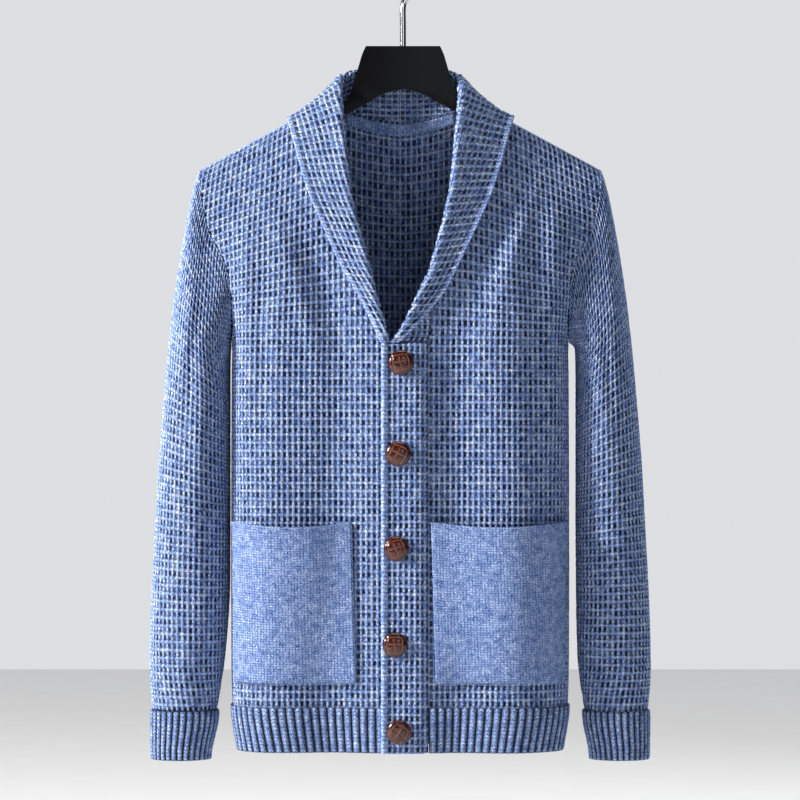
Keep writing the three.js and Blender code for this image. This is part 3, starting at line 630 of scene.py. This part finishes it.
def cellPart(tree, value, size, low, high):  # 0 on a ridge line and 1 between two of them
    cells = addNode(tree, "ShaderNodeMath", {0: value, 1: 1 / (size * mm)}, operation="MULTIPLY")
    swing = addNode(tree, "ShaderNodeMath", {0: cells.outputs[0], 1: 0.5}, operation="PINGPONG")
    ramp = addNode(tree, "ShaderNodeMapRange", {
        "Value": swing.outputs[0], "From Min": low, "From Max": high},
        interpolation_type="SMOOTHSTEP")
    return ramp.outputs["Result"]


def slantedLegs(tree, u, v, column, rise):  # a stitch's two legs slant up to the middle of its column
    cells = addNode(tree, "ShaderNodeMath", {0: u, 1: 1 / (column * mm)}, operation="MULTIPLY")
    leg = addNode(tree, "ShaderNodeMath", {0: cells.outputs[0], 1: 0.5}, operation="PINGPONG")
    slanted = addNode(tree, "ShaderNodeMath", {
        0: leg.outputs[0], 1: rise * mm, 2: v}, operation="MULTIPLY_ADD")
    return leg.outputs[0], slanted.outputs[0]


def finishCloth(tree, shader, spec, colour, fleck, dip):  # fuzzy fibre over the sunk parts
    fibre = addNode(tree, "ShaderNodeMath", {0: fleck, 1: marl["fibre"]}, operation="MULTIPLY")
    height = addNode(tree, "ShaderNodeMath", {0: fibre.outputs[0], 1: dip}, operation="SUBTRACT")
    bump = addNode(tree, "ShaderNodeBump", {
        "Height": height.outputs[0], "Strength": spec["bump"], "Distance": spec["bumpDeep"] * mm})
    plug(tree, shader, {
        "Base Color": colour, "Normal": bump.outputs["Normal"], "Roughness": spec["roughness"],
        "Specular IOR Level": marl["specular"], "Sheen Weight": spec["sheen"],
        "Sheen Roughness": marl["sheenRoughness"], "Sheen Tint": linear(spec["light"])})


def warpedUv(tree, onPiece, spec):  # hand of the yarn: the lines wander a little
    uv = addNode(tree, "ShaderNodeUVMap", uv_map="knit").outputs["UV"]
    wander = addNode(tree, "ShaderNodeTexNoise", {
        "Vector": onPiece, "Scale": 1 / (spec["wanderSize"] * mm), "Detail": 1.0})
    centred = addNode(tree, "ShaderNodeVectorMath", {
        0: wander.outputs["Color"], 1: (0.5, 0.5, 0.5)}, operation="SUBTRACT")
    moved = addNode(tree, "ShaderNodeVectorMath", {
        0: centred.outputs[0], 1: (2 * spec["wander"] * mm,) * 3, 2: uv},
        operation="MULTIPLY_ADD")
    parts = addNode(tree, "ShaderNodeSeparateXYZ", {"Vector": moved.outputs[0]})
    return parts.outputs["X"], parts.outputs["Y"]


def paintShade(tree, colour, dip, pit, share):  # painted shade: the pits go dark, as the light is lost in them
    amount = addNode(tree, "ShaderNodeMath", {0: dip, 1: share}, operation="MULTIPLY")
    shadedColour = addNode(tree, "ShaderNodeMix", {
        "Factor": amount.outputs[0], 6: colour, 7: linear(pit)}, data_type="RGBA")
    return shadedColour.outputs[2]


# Waffle knit of thick marled wool-blend yarn: matt, fuzzy, light ridges round pits that are painted
# near-black as shade.
waffleYarn = {
    # pit is the painted shade colour laid into the pits and between the strands
    "dark": "#3b5794", "middle": "#86a3df", "light": "#dbe8ff", "pit": "#050b22",
    "fleck": 1.5, "blotch": 9, "wander": 0.6, "wanderSize": 4,
    "bump": 1.0, "bumpDeep": 1.3, "roughness": 0.95, "sheen": 0.05, "pitShadeShare": 0.97,
    "across": (0.12, 0.29), "down": (0.06, 0.24),  # how a pit opens from ridge to middle
    "between": 0.42,  # how deep the groove stays where a level ridge crosses it, and how dark with painted shade
    "unevenSize": 7, "uneven": 0.32, "unevenRange": (0.35, 0.6),  # some pits are drawn half shut
    "strandRow": 4.25, "strandSlant": 0.55, "strandDeep": 0.5, "strand": (0.20, 0.5),
}


def waffleMaterial(name, spec):
    material, tree, shader, onPiece = newMaterial(name)
    colour, fleck = marlColour(tree, spec, onPiece)
    u, v = warpedUv(tree, onPiece, spec)
    across = cellPart(tree, u, knit["column"], *spec["across"])
    down = cellPart(tree, v, knit["row"], *spec["down"])
    groove = addNode(tree, "ShaderNodeMapRange", {
        "Value": down, "To Min": spec["between"], "To Max": 1.0}).outputs["Result"]
    drawn = addNode(tree, "ShaderNodeTexNoise", {
        "Vector": onPiece, "Scale": 1 / (spec["unevenSize"] * mm), "Detail": 1.0})
    low, high = spec["unevenRange"]
    openness = addNode(tree, "ShaderNodeMapRange", {
        "Value": drawn.outputs["Fac"], "From Min": low, "From Max": high,
        "To Min": 1 - spec["uneven"], "To Max": 1.0}).outputs["Result"]
    whole = addNode(tree, "ShaderNodeMath", {0: across, 1: groove}, operation="MULTIPLY")
    pit = addNode(tree, "ShaderNodeMath", {
        0: whole.outputs[0], 1: openness}, operation="MULTIPLY")
    # the upright ridges are chains of slanted strands
    rise = spec["strandSlant"] * 2 * spec["strandRow"]
    leg, slanted = slantedLegs(tree, u, v, knit["column"], rise)
    strand = cellPart(tree, slanted, spec["strandRow"], *spec["strand"])
    soft = addNode(tree, "ShaderNodeMath", {
        0: strand, 1: spec["strandDeep"]}, operation="MULTIPLY")
    dip = addNode(tree, "ShaderNodeMath", {
        0: pit.outputs[0], 1: soft.outputs[0]}, operation="MAXIMUM").outputs[0]
    # painted shade: the pits and the gaps between strands are darkened toward the pit colour
    shadedColour = paintShade(tree, colour, dip, spec["pit"], spec["pitShadeShare"])
    finishCloth(tree, shader, spec, shadedColour, fleck, dip)
    return material


# Plain jersey and rib in the same yarn: small V stitches, an even matt face.
jerseyYarn = {
    # pit is the painted shade colour laid into the gaps between stitches
    "dark": "#34508e", "middle": "#7d9bd6", "light": "#d2e1ff", "pit": "#152654",
    "fleck": 1.4, "blotch": 7, "wander": 0.35, "wanderSize": 5, "column": 3.4, "row": 2.6,
    "bump": 0.9, "bumpDeep": 0.7, "roughness": 0.95, "sheen": 0.05, "pitShadeShare": 0.75, "slant": 0.7,
    "level": (0.22, 0.5), "groove": (0.34, 0.5), "rib": 0,
}
ribYarn = {
    # pit is the painted shade colour laid into the stitch gaps and the furrows between ribs
    "dark": "#3a5692", "middle": "#7f9cd6", "light": "#d0e0ff", "pit": "#060d24",
    "fleck": 1.4, "blotch": 8, "wander": 0.45, "wanderSize": 5, "column": 4.3, "row": 4.0,
    "bump": 0.9, "bumpDeep": 1.0, "roughness": 0.95, "sheen": 0.05, "pitShadeShare": 0.6, "slant": 0.6,
    "level": (0.22, 0.5), "groove": (0.34, 0.5),
    "rib": 8.6, "ribRange": (0.07, 0.25),  # the furrow between two ribs is painted dark as shade
    "furrowShadeShare": 0.93, "furrowDeep": 1.5,
}


def stitchMaterial(name, spec):
    material, tree, shader, onPiece = newMaterial(name)
    colour, fleck = marlColour(tree, spec, onPiece)
    u, v = warpedUv(tree, onPiece, spec)
    leg, slanted = slantedLegs(tree, u, v, spec["column"], spec["slant"] * 2 * spec["row"])
    level = cellPart(tree, slanted, spec["row"], *spec["level"])
    low, high = spec["groove"]
    groove = addNode(tree, "ShaderNodeMapRange", {
        "Value": leg, "From Min": low, "From Max": high}, interpolation_type="SMOOTHSTEP")
    dip = addNode(tree, "ShaderNodeMath", {
        0: level, 1: groove.outputs["Result"]}, operation="MAXIMUM").outputs[0]
    # painted shade in the gaps between stitches
    shadedColour = paintShade(tree, colour, dip, spec["pit"], spec["pitShadeShare"])
    if spec["rib"]:
        # painted shade down the furrow between two ribs
        away = cellPart(tree, u, spec["rib"], *spec["ribRange"])
        furrow = addNode(tree, "ShaderNodeMath", {0: 1.0, 1: away}, operation="SUBTRACT").outputs[0]
        shadedColour = paintShade(tree, shadedColour, furrow, spec["pit"], spec["furrowShadeShare"])
        dip = addNode(tree, "ShaderNodeMath", {
            0: furrow, 1: spec["furrowDeep"], 2: dip}, operation="MULTIPLY_ADD").outputs[0]
    finishCloth(tree, shader, spec, shadedColour, fleck, dip)
    return material


waffleKnit = waffleMaterial("waffleKnitWool", waffleYarn)
ribKnit = stitchMaterial("ribKnitWool", ribYarn)
jerseyKnit = stitchMaterial("jerseyKnitWool", jerseyYarn)
print("cloth materials ready")

# The cut and sewn pieces
flats = {}


def hang(piece, node, flat):
    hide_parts(node)
    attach(piece, "root")
    flats[node] = flat


def fromShare(share):  # columns counted from the upright line at this share of the breadth
    return lambda v, a, run: np.array([np.interp(share, a, row) for row in run])


def fromFirst(v, a, run):
    return run[:, 0]


def fromLast(v, a, run):
    return run[:, -1]


edgeRolls = {
    "band": {"broad": 6.0, "high": 2.0},
    "collar": {"broad": 4.0, "high": 0.7},
}


def rolledEdge(grid, height, roll):  # a plain round selvedge along a free edge, no pits
    rolled = np.clip(1 - np.abs(grid["u"]) / roll["broad"], 0, 1)
    bulge = roll["high"] * np.sqrt(np.clip(1 - (2 * rolled - 1) ** 2, 0, 1))
    grid["u"] = np.sign(grid["u"]) * np.maximum(0, np.abs(grid["u"]) - roll["broad"])
    return mix(height, bulge, smooth(3 * rolled))


def wafflePiece(name, node, surface, zero, facing, seed, restsOn, roll=None, out=0.0, **how):
    stepAcross, stepDown = knit["column"] / knit["samples"], knit["row"] / knit["samples"]
    grid = lattice(surface, zero, stepAcross, stepDown, **how)
    height = (waffle(grid, seed) - 1) * knit["relief"]
    if roll:
        height = rolledEdge(grid, height, edgeRolls[roll])
    piece = clothPiece(name, grid, facing, waffleKnit, height + out, knit["thick"])
    hang(piece, node, grid["flat"])


wafflePiece("backPanel", "back_panel", backPoint, fromShare(0.5), -1, 1, ["hanger"], middle=0.8)

for side, word in ((1, "Left"), (-1, "Right")):
    node = word.lower()
    front = "front" + word

    def fromMiddle(v, a, run):  # columns stand upright from the middle line, and the seam cuts them
        return -frontEdgeX(side, rowHeight(v, form["neckZ"]))

    wafflePiece(front, "front_" + node, lambda a, v: frontPoint(side, a, v), fromMiddle,
                side, 2 + side, ["hanger", "backPanel"])
    wafflePiece("sleeve" + word, "sleeve_" + node, lambda a, v: sleevePoint(side, a, v),
                fromShare(0.0), side, 5 + side, [front, "backPanel"],
                span=(-0.5, 0.5), middle=0.25)
    # the collar's lines follow its free edge, and its rows run across from the neck seam
    wafflePiece("collar" + word, "collar_" + node, lambda a, v: collarPoint(side, v, a),
                fromLast, side, 8 + side, [front, "backPanel"], roll="collar",
                out=form["wall"] / 2, middle=0.75)
print("panels, sleeves and collar made")

# ribs: raised rounded ridges over a plain ground, drawn in a little at their lower edge
ribs = {
    "pitch": 8.6, "cuffPitch": 6.7, "samples": 8, "high": 2.6, "thick": 1.6, "rows": 3.2,
    "roundness": 0.6, "drawnIn": 0.75, "drawnShape": 0.25, "uneven": 0.07, "probe": 400,
}


def ribHeight(grid, seed):
    rng = np.random.default_rng(seed)
    phase = grid["column"] % ribs["samples"] / ribs["samples"]
    wave = np.sin(np.pi * phase) ** ribs["roundness"]
    down = np.sin(np.linspace(0, np.pi, len(grid["v"]))) ** ribs["drawnShape"]
    high = ribs["high"] * wave[None, :] * mix(ribs["drawnIn"], 1, down)[:, None]
    return high * (1 + ribs["uneven"] * rng.standard_normal(high.shape))


def ribPiece(name, node, surface, facing, pitch, seed):
    probe = arcs(surface(np.linspace(0, 1, ribs["probe"])[None, :], np.array([[0.5]])))[0, -1]
    count = round(probe / pitch) * ribs["samples"]
    grid = lattice(surface, fromFirst, -count, ribs["rows"])
    every = grid["column"] / ribs["samples"] * ribYarn["rib"]  # one rib's width in the material
    grid["u"] = np.broadcast_to(every[None, :], grid["u"].shape)
    piece = clothPiece(name, grid, facing, ribKnit, ribHeight(grid, seed), ribs["thick"])
    hang(piece, node, grid["flat"])


hemLengths = [  # piece, node, face, facing, from, to, what it hangs on, seed
    ("hemBack", "hem_rib_back", 1, -1, -form["tipX"], form["tipX"], "backPanel", 21),
    ("hemLeft", "hem_rib_left", -1, 1, form["bandTo"] + form["gap"], form["tipX"], "frontLeft", 22),
    ("hemRight", "hem_rib_right", -1, -1, form["underEdge"], -form["tipX"], "frontRight", 23),
]
for name, node, face, facing, fromX, toX, panel, seed in hemLengths:
    ribPiece(name, node, lambda a, v: hemPoint(face, fromX, toX, a, v), facing,
             ribs["pitch"], seed)
for side, word, seed in ((1, "Left", 24), (-1, "Right", 25)):
    ribPiece("cuff" + word, "cuff_" + word.lower(), lambda a, v: cuffPoint(side, a, v), side,
             ribs["cuffPitch"], seed)

# front bands in the waffle knit, the upper one with a smooth rolled edge
wafflePiece("buttonBand", "button_band",
            lambda a, v: bandPoint(form["bandFrom"], form["bandTo"], True, a, v),
            fromFirst, 1, 31, ["frontLeft"], roll="band")
wafflePiece("underBand", "under_band",
            lambda a, v: bandPoint(form["underEdge"] + form["gap"], form["underTo"], False, a, v),
            fromFirst, 1, 32, ["frontRight"])


def jerseyPiece(name, node, surface, facing, column, row, thick, rows=None):
    grid = lattice(surface, fromFirst, column, row, rows=rows)
    piece = clothPiece(name, grid, facing, jerseyKnit, 0 * grid["u"], thick)
    hang(piece, node, grid["flat"])


shape = pocketShape
rows = np.concatenate([np.linspace(*shape["rows"]), np.linspace(*shape["rimRows"])])
for node, spec in pocketForms.items():
    word = "Left" if spec["side"] > 0 else "Right"
    jerseyPiece("pocket" + word, node, lambda a, v: pocketPoint(node, a, v), spec["side"],
                shape["column"], shape["row"], form["jersey"] - shape["thin"], rows)
jerseyPiece("neckTape", "neck_tape", tapePoint, -1, tapeForm["grid"], tapeForm["grid"],
            tapeForm["thick"])
print("ribs, bands, pockets and tape made")

# Hanger and hook
# Satin black moulded plastic: smooth, with a soft broad highlight and very fine mould texture.
hangerPlastic, tree, shader, onPiece = newMaterial("satinBlackPolystyrene")
grain = addNode(tree, "ShaderNodeTexNoise", {
    "Vector": onPiece, "Scale": 1 / (0.6 * mm), "Detail": 2.0})  # drawn coarser than its 0.1 mm
smear = addNode(tree, "ShaderNodeTexNoise", {"Vector": onPiece, "Scale": 1 / (25 * mm)})
gloss = addNode(tree, "ShaderNodeMapRange", {
    "Value": smear.outputs["Fac"], "To Min": 0.24, "To Max": 0.34})
bump = addNode(tree, "ShaderNodeBump", {
    "Height": grain.outputs["Fac"], "Strength": 0.12, "Distance": 0.1 * mm})
tone = addNode(tree, "ShaderNodeMix", {
    "Factor": smear.outputs["Fac"], 6: linear("#040405"), 7: linear("#0a0a0c")}, data_type="RGBA")
tree.links.new(tone.outputs[2], shader.inputs["Base Color"])
tree.links.new(gloss.outputs["Result"], shader.inputs["Roughness"])
tree.links.new(bump.outputs["Normal"], shader.inputs["Normal"])
shader.inputs["IOR"].default_value = 1.45
shader.inputs["Specular IOR Level"].default_value = 0.14

# Chromed steel rod: mirror bright, faintly brushed along its length.
chromeSteel, tree, shader, onPiece = newMaterial("chromedSteel")
haze = addNode(tree, "ShaderNodeTexNoise", {
    "Vector": onPiece, "Scale": 1 / (3 * mm), "Detail": 4.0})
gloss = addNode(tree, "ShaderNodeMapRange", {
    "Value": haze.outputs["Fac"], "To Min": 0.07, "To Max": 0.17})
tree.links.new(gloss.outputs["Result"], shader.inputs["Roughness"])
shader.inputs["Base Color"].default_value = linear("#d3d5d8")
shader.inputs["Metallic"].default_value = 1.0

hangerForm = {
    "thick": 12, "bevel": 3.4, "down": -12, "topHalf": 39.8, "topZ": -87,
    "sides": [(44, -96.5), (48, -110), (52.5, -125), (59, -143), (70, -153.5)],
    "armStart": 84, "armEnd": 196, "under": 4.4, "armTall": 23,
    "arch": [(57, -157.5), (39, -148), (22, -138), (0, -132)],
}


def shadeSmooth(bm, angle=40):
    for face in bm.faces:
        face.smooth = True
    for edge in bm.edges:
        if len(edge.link_faces) == 2 and edge.calc_face_angle() > math.radians(angle):
            edge.smooth = False


def newPiece(name, bm, material):
    mesh = bpy.data.meshes.new(name)
    bm.to_mesh(mesh)
    bm.free()
    piece = bpy.data.objects.new(name, mesh)
    scene.collection.objects.link(piece)
    mesh.materials.append(material)
    return piece


def hangerHalf(side):
    h = hangerForm

    def armTop(x):
        return float(shoulderZ(side * x - clothPlace[0])) - h["under"]

    upper = [(h["topHalf"], h["topZ"]), *h["sides"], (h["armStart"], armTop(h["armStart"]))]
    tip = [(h["armEnd"], armTop(h["armEnd"])), (h["armEnd"], armTop(h["armEnd"]) - h["armTall"])]
    lower = [tip[1], *h["arch"]]

    def eased(points, count):  # a smooth line through the outline's points
        points = np.array([(x, 0.0, z) for x, z in points])
        return [tuple(p[[0, 2]]) for p in catmull(points, np.linspace(0, 1, count))]

    line = eased(upper, 40) + tip[:1] + eased(lower, 40)
    return [(side * x, z) for x, z in line]


outline = hangerHalf(1) + hangerHalf(-1)[:-1][::-1]
bm = bmesh.new()
h = hangerForm
corners = [bm.verts.new((x * mm, -h["thick"] / 2 * mm, (z + h["down"]) * mm)) for x, z in outline]
bm.faces.new(corners)
grown = bmesh.ops.extrude_face_region(bm, geom=bm.faces[:])
moved = [g for g in grown["geom"] if isinstance(g, bmesh.types.BMVert)]
bmesh.ops.translate(bm, verts=moved, vec=(0, h["thick"] * mm, 0))
bmesh.ops.recalc_face_normals(bm, faces=bm.faces)
rim = [e for e in bm.edges if abs(e.verts[0].co.y - e.verts[1].co.y) < 1e-6]
bmesh.ops.bevel(bm, geom=rim, offset=h["bevel"] * mm, affect="EDGES", segments=5, profile=0.5,
                material=-1, clamp_overlap=True)
shadeSmooth(bm, 30)
hangerPiece = newPiece("hangerBody", bm, hangerPlastic)
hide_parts("hanger")
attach(hangerPiece, "root")

hookForm = {"wire": 3.2, "inside": 20, "straightTo": -57, "gap": 0.3}
foot = hangerForm["topZ"] + hangerForm["down"] + hookForm["gap"]
path = [(0, foot), (0, (foot + hookForm["straightTo"]) / 2), (0, hookForm["straightTo"]),
        (3, -48.5), (10.5, -41.5)]
for degrees in np.arange(-35, 200.1, 23.5):
    turn, reach = math.radians(degrees), hookForm["inside"] + hookForm["wire"]
    path.append((reach * math.cos(turn), -hookForm["inside"] + reach * math.sin(turn)))
line = catmull(np.array([(x, 0.0, z) for x, z in path]), np.linspace(0, 1, 150))


def rod(points, radius, roundEnds=0):  # a round wire along points, as a mesh
    curve = bpy.data.curves.new("rod", "CURVE")
    curve.dimensions = "3D"
    curve.bevel_depth = radius * mm
    curve.bevel_resolution = 5
    curve.use_fill_caps = True
    spline = curve.splines.new("POLY")
    spline.points.add(len(points) - 1)
    for i, (point, at) in enumerate(zip(spline.points, points)):
        point.co = (*(np.asarray(at) * mm), 1)
        fromEnd = (len(points) - 1 - i) / max(1, roundEnds)
        if fromEnd < 1:  # the free end is rounded off
            point.radius = max(0.08, math.sqrt(1 - (1 - fromEnd) ** 2))
    temporary = bpy.data.objects.new("rod", curve)
    scene.collection.objects.link(temporary)
    bpy.context.view_layer.update()
    mesh = bpy.data.meshes.new_from_object(
        temporary.evaluated_get(bpy.context.evaluated_depsgraph_get()))
    bpy.data.objects.remove(temporary)
    bm = bmesh.new()
    bm.from_mesh(mesh)
    bmesh.ops.remove_doubles(bm, verts=bm.verts, dist=1e-6)
    bmesh.ops.recalc_face_normals(bm, faces=bm.faces)
    return bm


bm = rod(line, hookForm["wire"], roundEnds=3)
shadeSmooth(bm)
hookPiece = newPiece("hookRod", bm, chromeSteel)
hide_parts("hanger_hook")
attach(hookPiece, "root")
print("hanger made")

# The linked seam of each shoulder, a chain of yarn lying in the join of back and front
shoulderSeam = {"radius": 1.15, "sunk": 1.1, "points": 90}
for side, word in ((1, "Left"), (-1, "Right")):
    a = np.linspace(0.03, 0.97, shoulderSeam["points"])
    ahead = frontPoint(side, a, np.ones_like(a))
    behind = backPoint(0.5 + np.arcsin(ahead[:, 0] / form["tipX"]) / np.pi, np.ones_like(a))
    between = (ahead + behind) / 2 + clothPlace - np.array([0, 0, shoulderSeam["sunk"]])
    chain = newPiece(f"shoulderSeam{word}", rod(between, shoulderSeam["radius"]), jerseyKnit)
    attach(chain, "root")

# Buttons: domed knots of dark leather look, with tan seams let into them
buttons = {
    "places": [(1, -427, 12), (-1.5, -523, -28), (-3.5, -623, 20), (-5, -724.5, 2), (-1, -816, -38)],
    "profile": [(0, 0), (11, 0), (13.2, 1.4), (13.4, 2.6), (12.9, 4.2), (11.5, 5.5), (9.4, 6.6),
                (7, 7.3), (4.6, 7.7), (2.2, 7.9), (0, 7.95)],
    "groove": 0.55, "grooveWide": 1.0, "cord": 0.2, "segments": 72, "frame": 0.56,
    "radius": 13.0, "grooveFrom": 3.5, "cordTo": 12.6, "cordSunk": 0.25,
}
# Glossy moulded resin with the look of waxed leather: deep red-brown, lighter where it swells.
buttonResin, tree, shader, onPiece = newMaterial("waxedBrownResin")
cloud = addNode(tree, "ShaderNodeTexNoise", {
    "Vector": onPiece, "Scale": 1 / (5 * mm), "Detail": 4.0})
hide = addNode(tree, "ShaderNodeTexVoronoi", {"Vector": onPiece, "Scale": 1 / (0.9 * mm)})
ramp = addNode(tree, "ShaderNodeValToRGB", {"Fac": cloud.outputs["Fac"]})
ramp.color_ramp.elements[0].position, ramp.color_ramp.elements[0].color = 0.3, linear("#0d0201")
ramp.color_ramp.elements[1].position, ramp.color_ramp.elements[1].color = 0.72, linear("#4d1206")
bump = addNode(tree, "ShaderNodeBump", {
    "Height": hide.outputs["Distance"], "Strength": 0.12, "Distance": 0.15 * mm})
tree.links.new(ramp.outputs["Color"], shader.inputs["Base Color"])
tree.links.new(bump.outputs["Normal"], shader.inputs["Normal"])
shader.inputs["Roughness"].default_value = 0.24
shader.inputs["IOR"].default_value = 1.45
shader.inputs["Coat Weight"].default_value = 0.35
shader.inputs["Coat Roughness"].default_value = 0.1

# Raised tan seam lines, worn to copper.
seamTan, tree, shader, onPiece = newMaterial("wornTanLeatherSeam")
wear = addNode(tree, "ShaderNodeTexNoise", {
    "Vector": onPiece, "Scale": 1 / (1.5 * mm), "Detail": 3.0})
tone = addNode(tree, "ShaderNodeMix", {
    "Factor": wear.outputs["Fac"], 6: linear("#572812"), 7: linear("#b9794a")}, data_type="RGBA")
tree.links.new(tone.outputs[2], shader.inputs["Base Color"])
shader.inputs["Roughness"].default_value = 0.35
shader.inputs["IOR"].default_value = 1.5


def seamLines():  # four panels in the middle, closed by a bowed frame with a line from each corner
    half, corner = buttons["frame"], 0.95 / math.sqrt(2)
    t = np.linspace(0, 1, 12)
    lines = [np.column_stack([mix(-half, half, t), 0 * t + 0.03]),
             np.column_stack([0 * t - 0.04, mix(-half, half, t)])]
    for quarter in range(4):
        turn = quarter * math.pi / 2
        c, s = math.cos(turn), math.sin(turn)
        bowed = np.column_stack([half + 0.09 * np.sin(np.pi * t), mix(-half, half, t)])
        outward = np.column_stack([mix(half, corner, t)] * 2)
        lines += [flat @ np.array([[c, s], [-s, c]]) for flat in (bowed, outward)]
    return lines


profileR = np.array([r for r, _ in buttons["profile"]][::-1], dtype=float)
profileH = np.array([z for _, z in buttons["profile"]][::-1], dtype=float)
widest = int(profileR.argmax()) + 1


def domeHeight(r):
    return np.interp(r, profileR[:widest], profileH[:widest])


for number, (x, z, tilt) in enumerate(buttons["places"], start=1):
    b = buttons
    out = float(bandLift(x)) + form["gap"]
    base = onBody(float(x), float(z), -1, out) + clothPlace
    normal = Vector(bodyNormal(float(x), float(z), -1))
    stand = normal.to_track_quat("Z", "Y").to_matrix().to_4x4()
    turned = stand @ Matrix.Rotation(math.radians(tilt), 4, "Z")
    pose = Matrix.Translation(Vector(base * mm)) @ turned

    bm = bmesh.new()
    points = [bm.verts.new((r * mm, 0, high * mm)) for r, high in b["profile"]]
    edges = [bm.edges.new(pair) for pair in zip(points, points[1:])]
    bmesh.ops.subdivide_edges(bm, edges=edges, cuts=2)
    bmesh.ops.spin(bm, geom=bm.verts[:] + bm.edges[:], axis=(0, 0, 1), cent=(0, 0, 0),
                   angle=2 * math.pi, steps=b["segments"], use_merge=True, use_duplicate=False)
    bmesh.ops.remove_doubles(bm, verts=bm.verts, dist=1e-5)
    bmesh.ops.recalc_face_normals(bm, faces=bm.faces)
    lines = seamLines()
    onSeam = np.concatenate(lines) * b["radius"]
    for vertex in bm.verts:
        if vertex.co.z > b["grooveFrom"] * mm:
            gap = np.hypot(*(onSeam - np.array(vertex.co[:2]) / mm).T).min()
            sunk = b["groove"] * mm * math.exp(-((gap / b["grooveWide"]) ** 2))
            vertex.co -= Vector((0, 0, 1)) * sunk
    bmesh.ops.transform(bm, matrix=pose, verts=bm.verts)
    shadeSmooth(bm, 60)
    dome = newPiece(f"buttonDome{number}", bm, buttonResin)
    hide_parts(f"button_{number}")
    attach(dome, "root")

    cords = bmesh.new()
    for flat in lines:
        xy = flat * b["radius"]
        r = np.hypot(xy[:, 0], xy[:, 1])
        path = np.column_stack([xy, domeHeight(r) - b["cordSunk"]])
        strand = rod(path[r < b["cordTo"]], b["cord"])
        mesh = bpy.data.meshes.new("strand")
        strand.to_mesh(mesh)
        strand.free()
        cords.from_mesh(mesh)
        bpy.data.meshes.remove(mesh)
    bmesh.ops.transform(cords, matrix=pose, verts=cords.verts)
    shadeSmooth(cords, 60)
    seams = newPiece(f"buttonSeams{number}", cords, seamTan)
    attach(seams, "root")
print("buttons made")

# Studio
studio = {
    "floorZ": -1.16, "floorSize": 5.5, "background": "#e6e7ea", "seen": 0.92, "ambient": 0.08,
    "ceiling": 1.75,
    "lights": [  # place, aim, size, power, colour
        ("key", (-3.3, -1.2, 0.75), 0.7, 285, "#fffaf4"),
        ("fill", (0.5, -3.4, 0.3), 1.5, 11, "#eef4ff"),
        ("rim", (1.2, 2.2, 0.9), 1.4, 20, "#ffffff"),
    ],
}
for name, at, size, power, tint in studio["lights"]:
    data = bpy.data.lights.new(name, "AREA")
    data.shape = "DISK"
    data.size = size
    data.energy = power
    data.color = linear(tint)[:3]
    light = bpy.data.objects.new(name, data)
    light.location = at
    light.rotation_euler = (Vector((0, 0, -0.45)) - Vector(at)).to_track_quat("-Z", "Y").to_euler()
    scene.collection.objects.link(light)

ceiling = bpy.data.lights.new("ceiling", "SUN")  # even soft light from above, straight down
ceiling.energy = studio["ceiling"]
ceiling.angle = math.radians(50)
scene.collection.objects.link(bpy.data.objects.new("ceiling", ceiling))

world = bpy.data.worlds.new("studioAir")
world.use_nodes = True
air = world.node_tree.nodes["Background"]
air.inputs["Color"].default_value = linear(studio["background"])
ray = addNode(world.node_tree, "ShaderNodeLightPath").outputs["Is Camera Ray"]
strength = addNode(world.node_tree, "ShaderNodeMapRange", {
    "Value": ray, "To Min": studio["ambient"], "To Max": studio["seen"]})
world.node_tree.links.new(strength.outputs["Result"], air.inputs["Strength"])
scene.world = world

# Pale painted floor: matt, with the faint mottle of a roller coat.
paleFloor, tree, shader, onPiece = newMaterial("matPaintedFloor")
mottle = addNode(tree, "ShaderNodeTexNoise", {"Vector": onPiece, "Scale": 1 / 0.08, "Detail": 3.0})
tone = addNode(tree, "ShaderNodeMix", {
    "Factor": mottle.outputs["Fac"], 6: linear("#e8e9eb"), 7: linear("#eeeff1")},
    data_type="RGBA")
tree.links.new(tone.outputs[2], shader.inputs["Base Color"])
shader.inputs["Roughness"].default_value = 0.8
bm = bmesh.new()
bmesh.ops.create_grid(bm, x_segments=8, y_segments=8, size=studio["floorSize"])
bmesh.ops.translate(bm, verts=bm.verts, vec=(0, 0, studio["floorZ"]))
floor = newPiece("floor", bm, paleFloor)
print("studio made")

for node, flat in flats.items():
    print(f"{node}: cut {flat['width']:.0f} x {flat['length']:.0f} mm, {flat['area'] * 1e-6:.3f} m2")
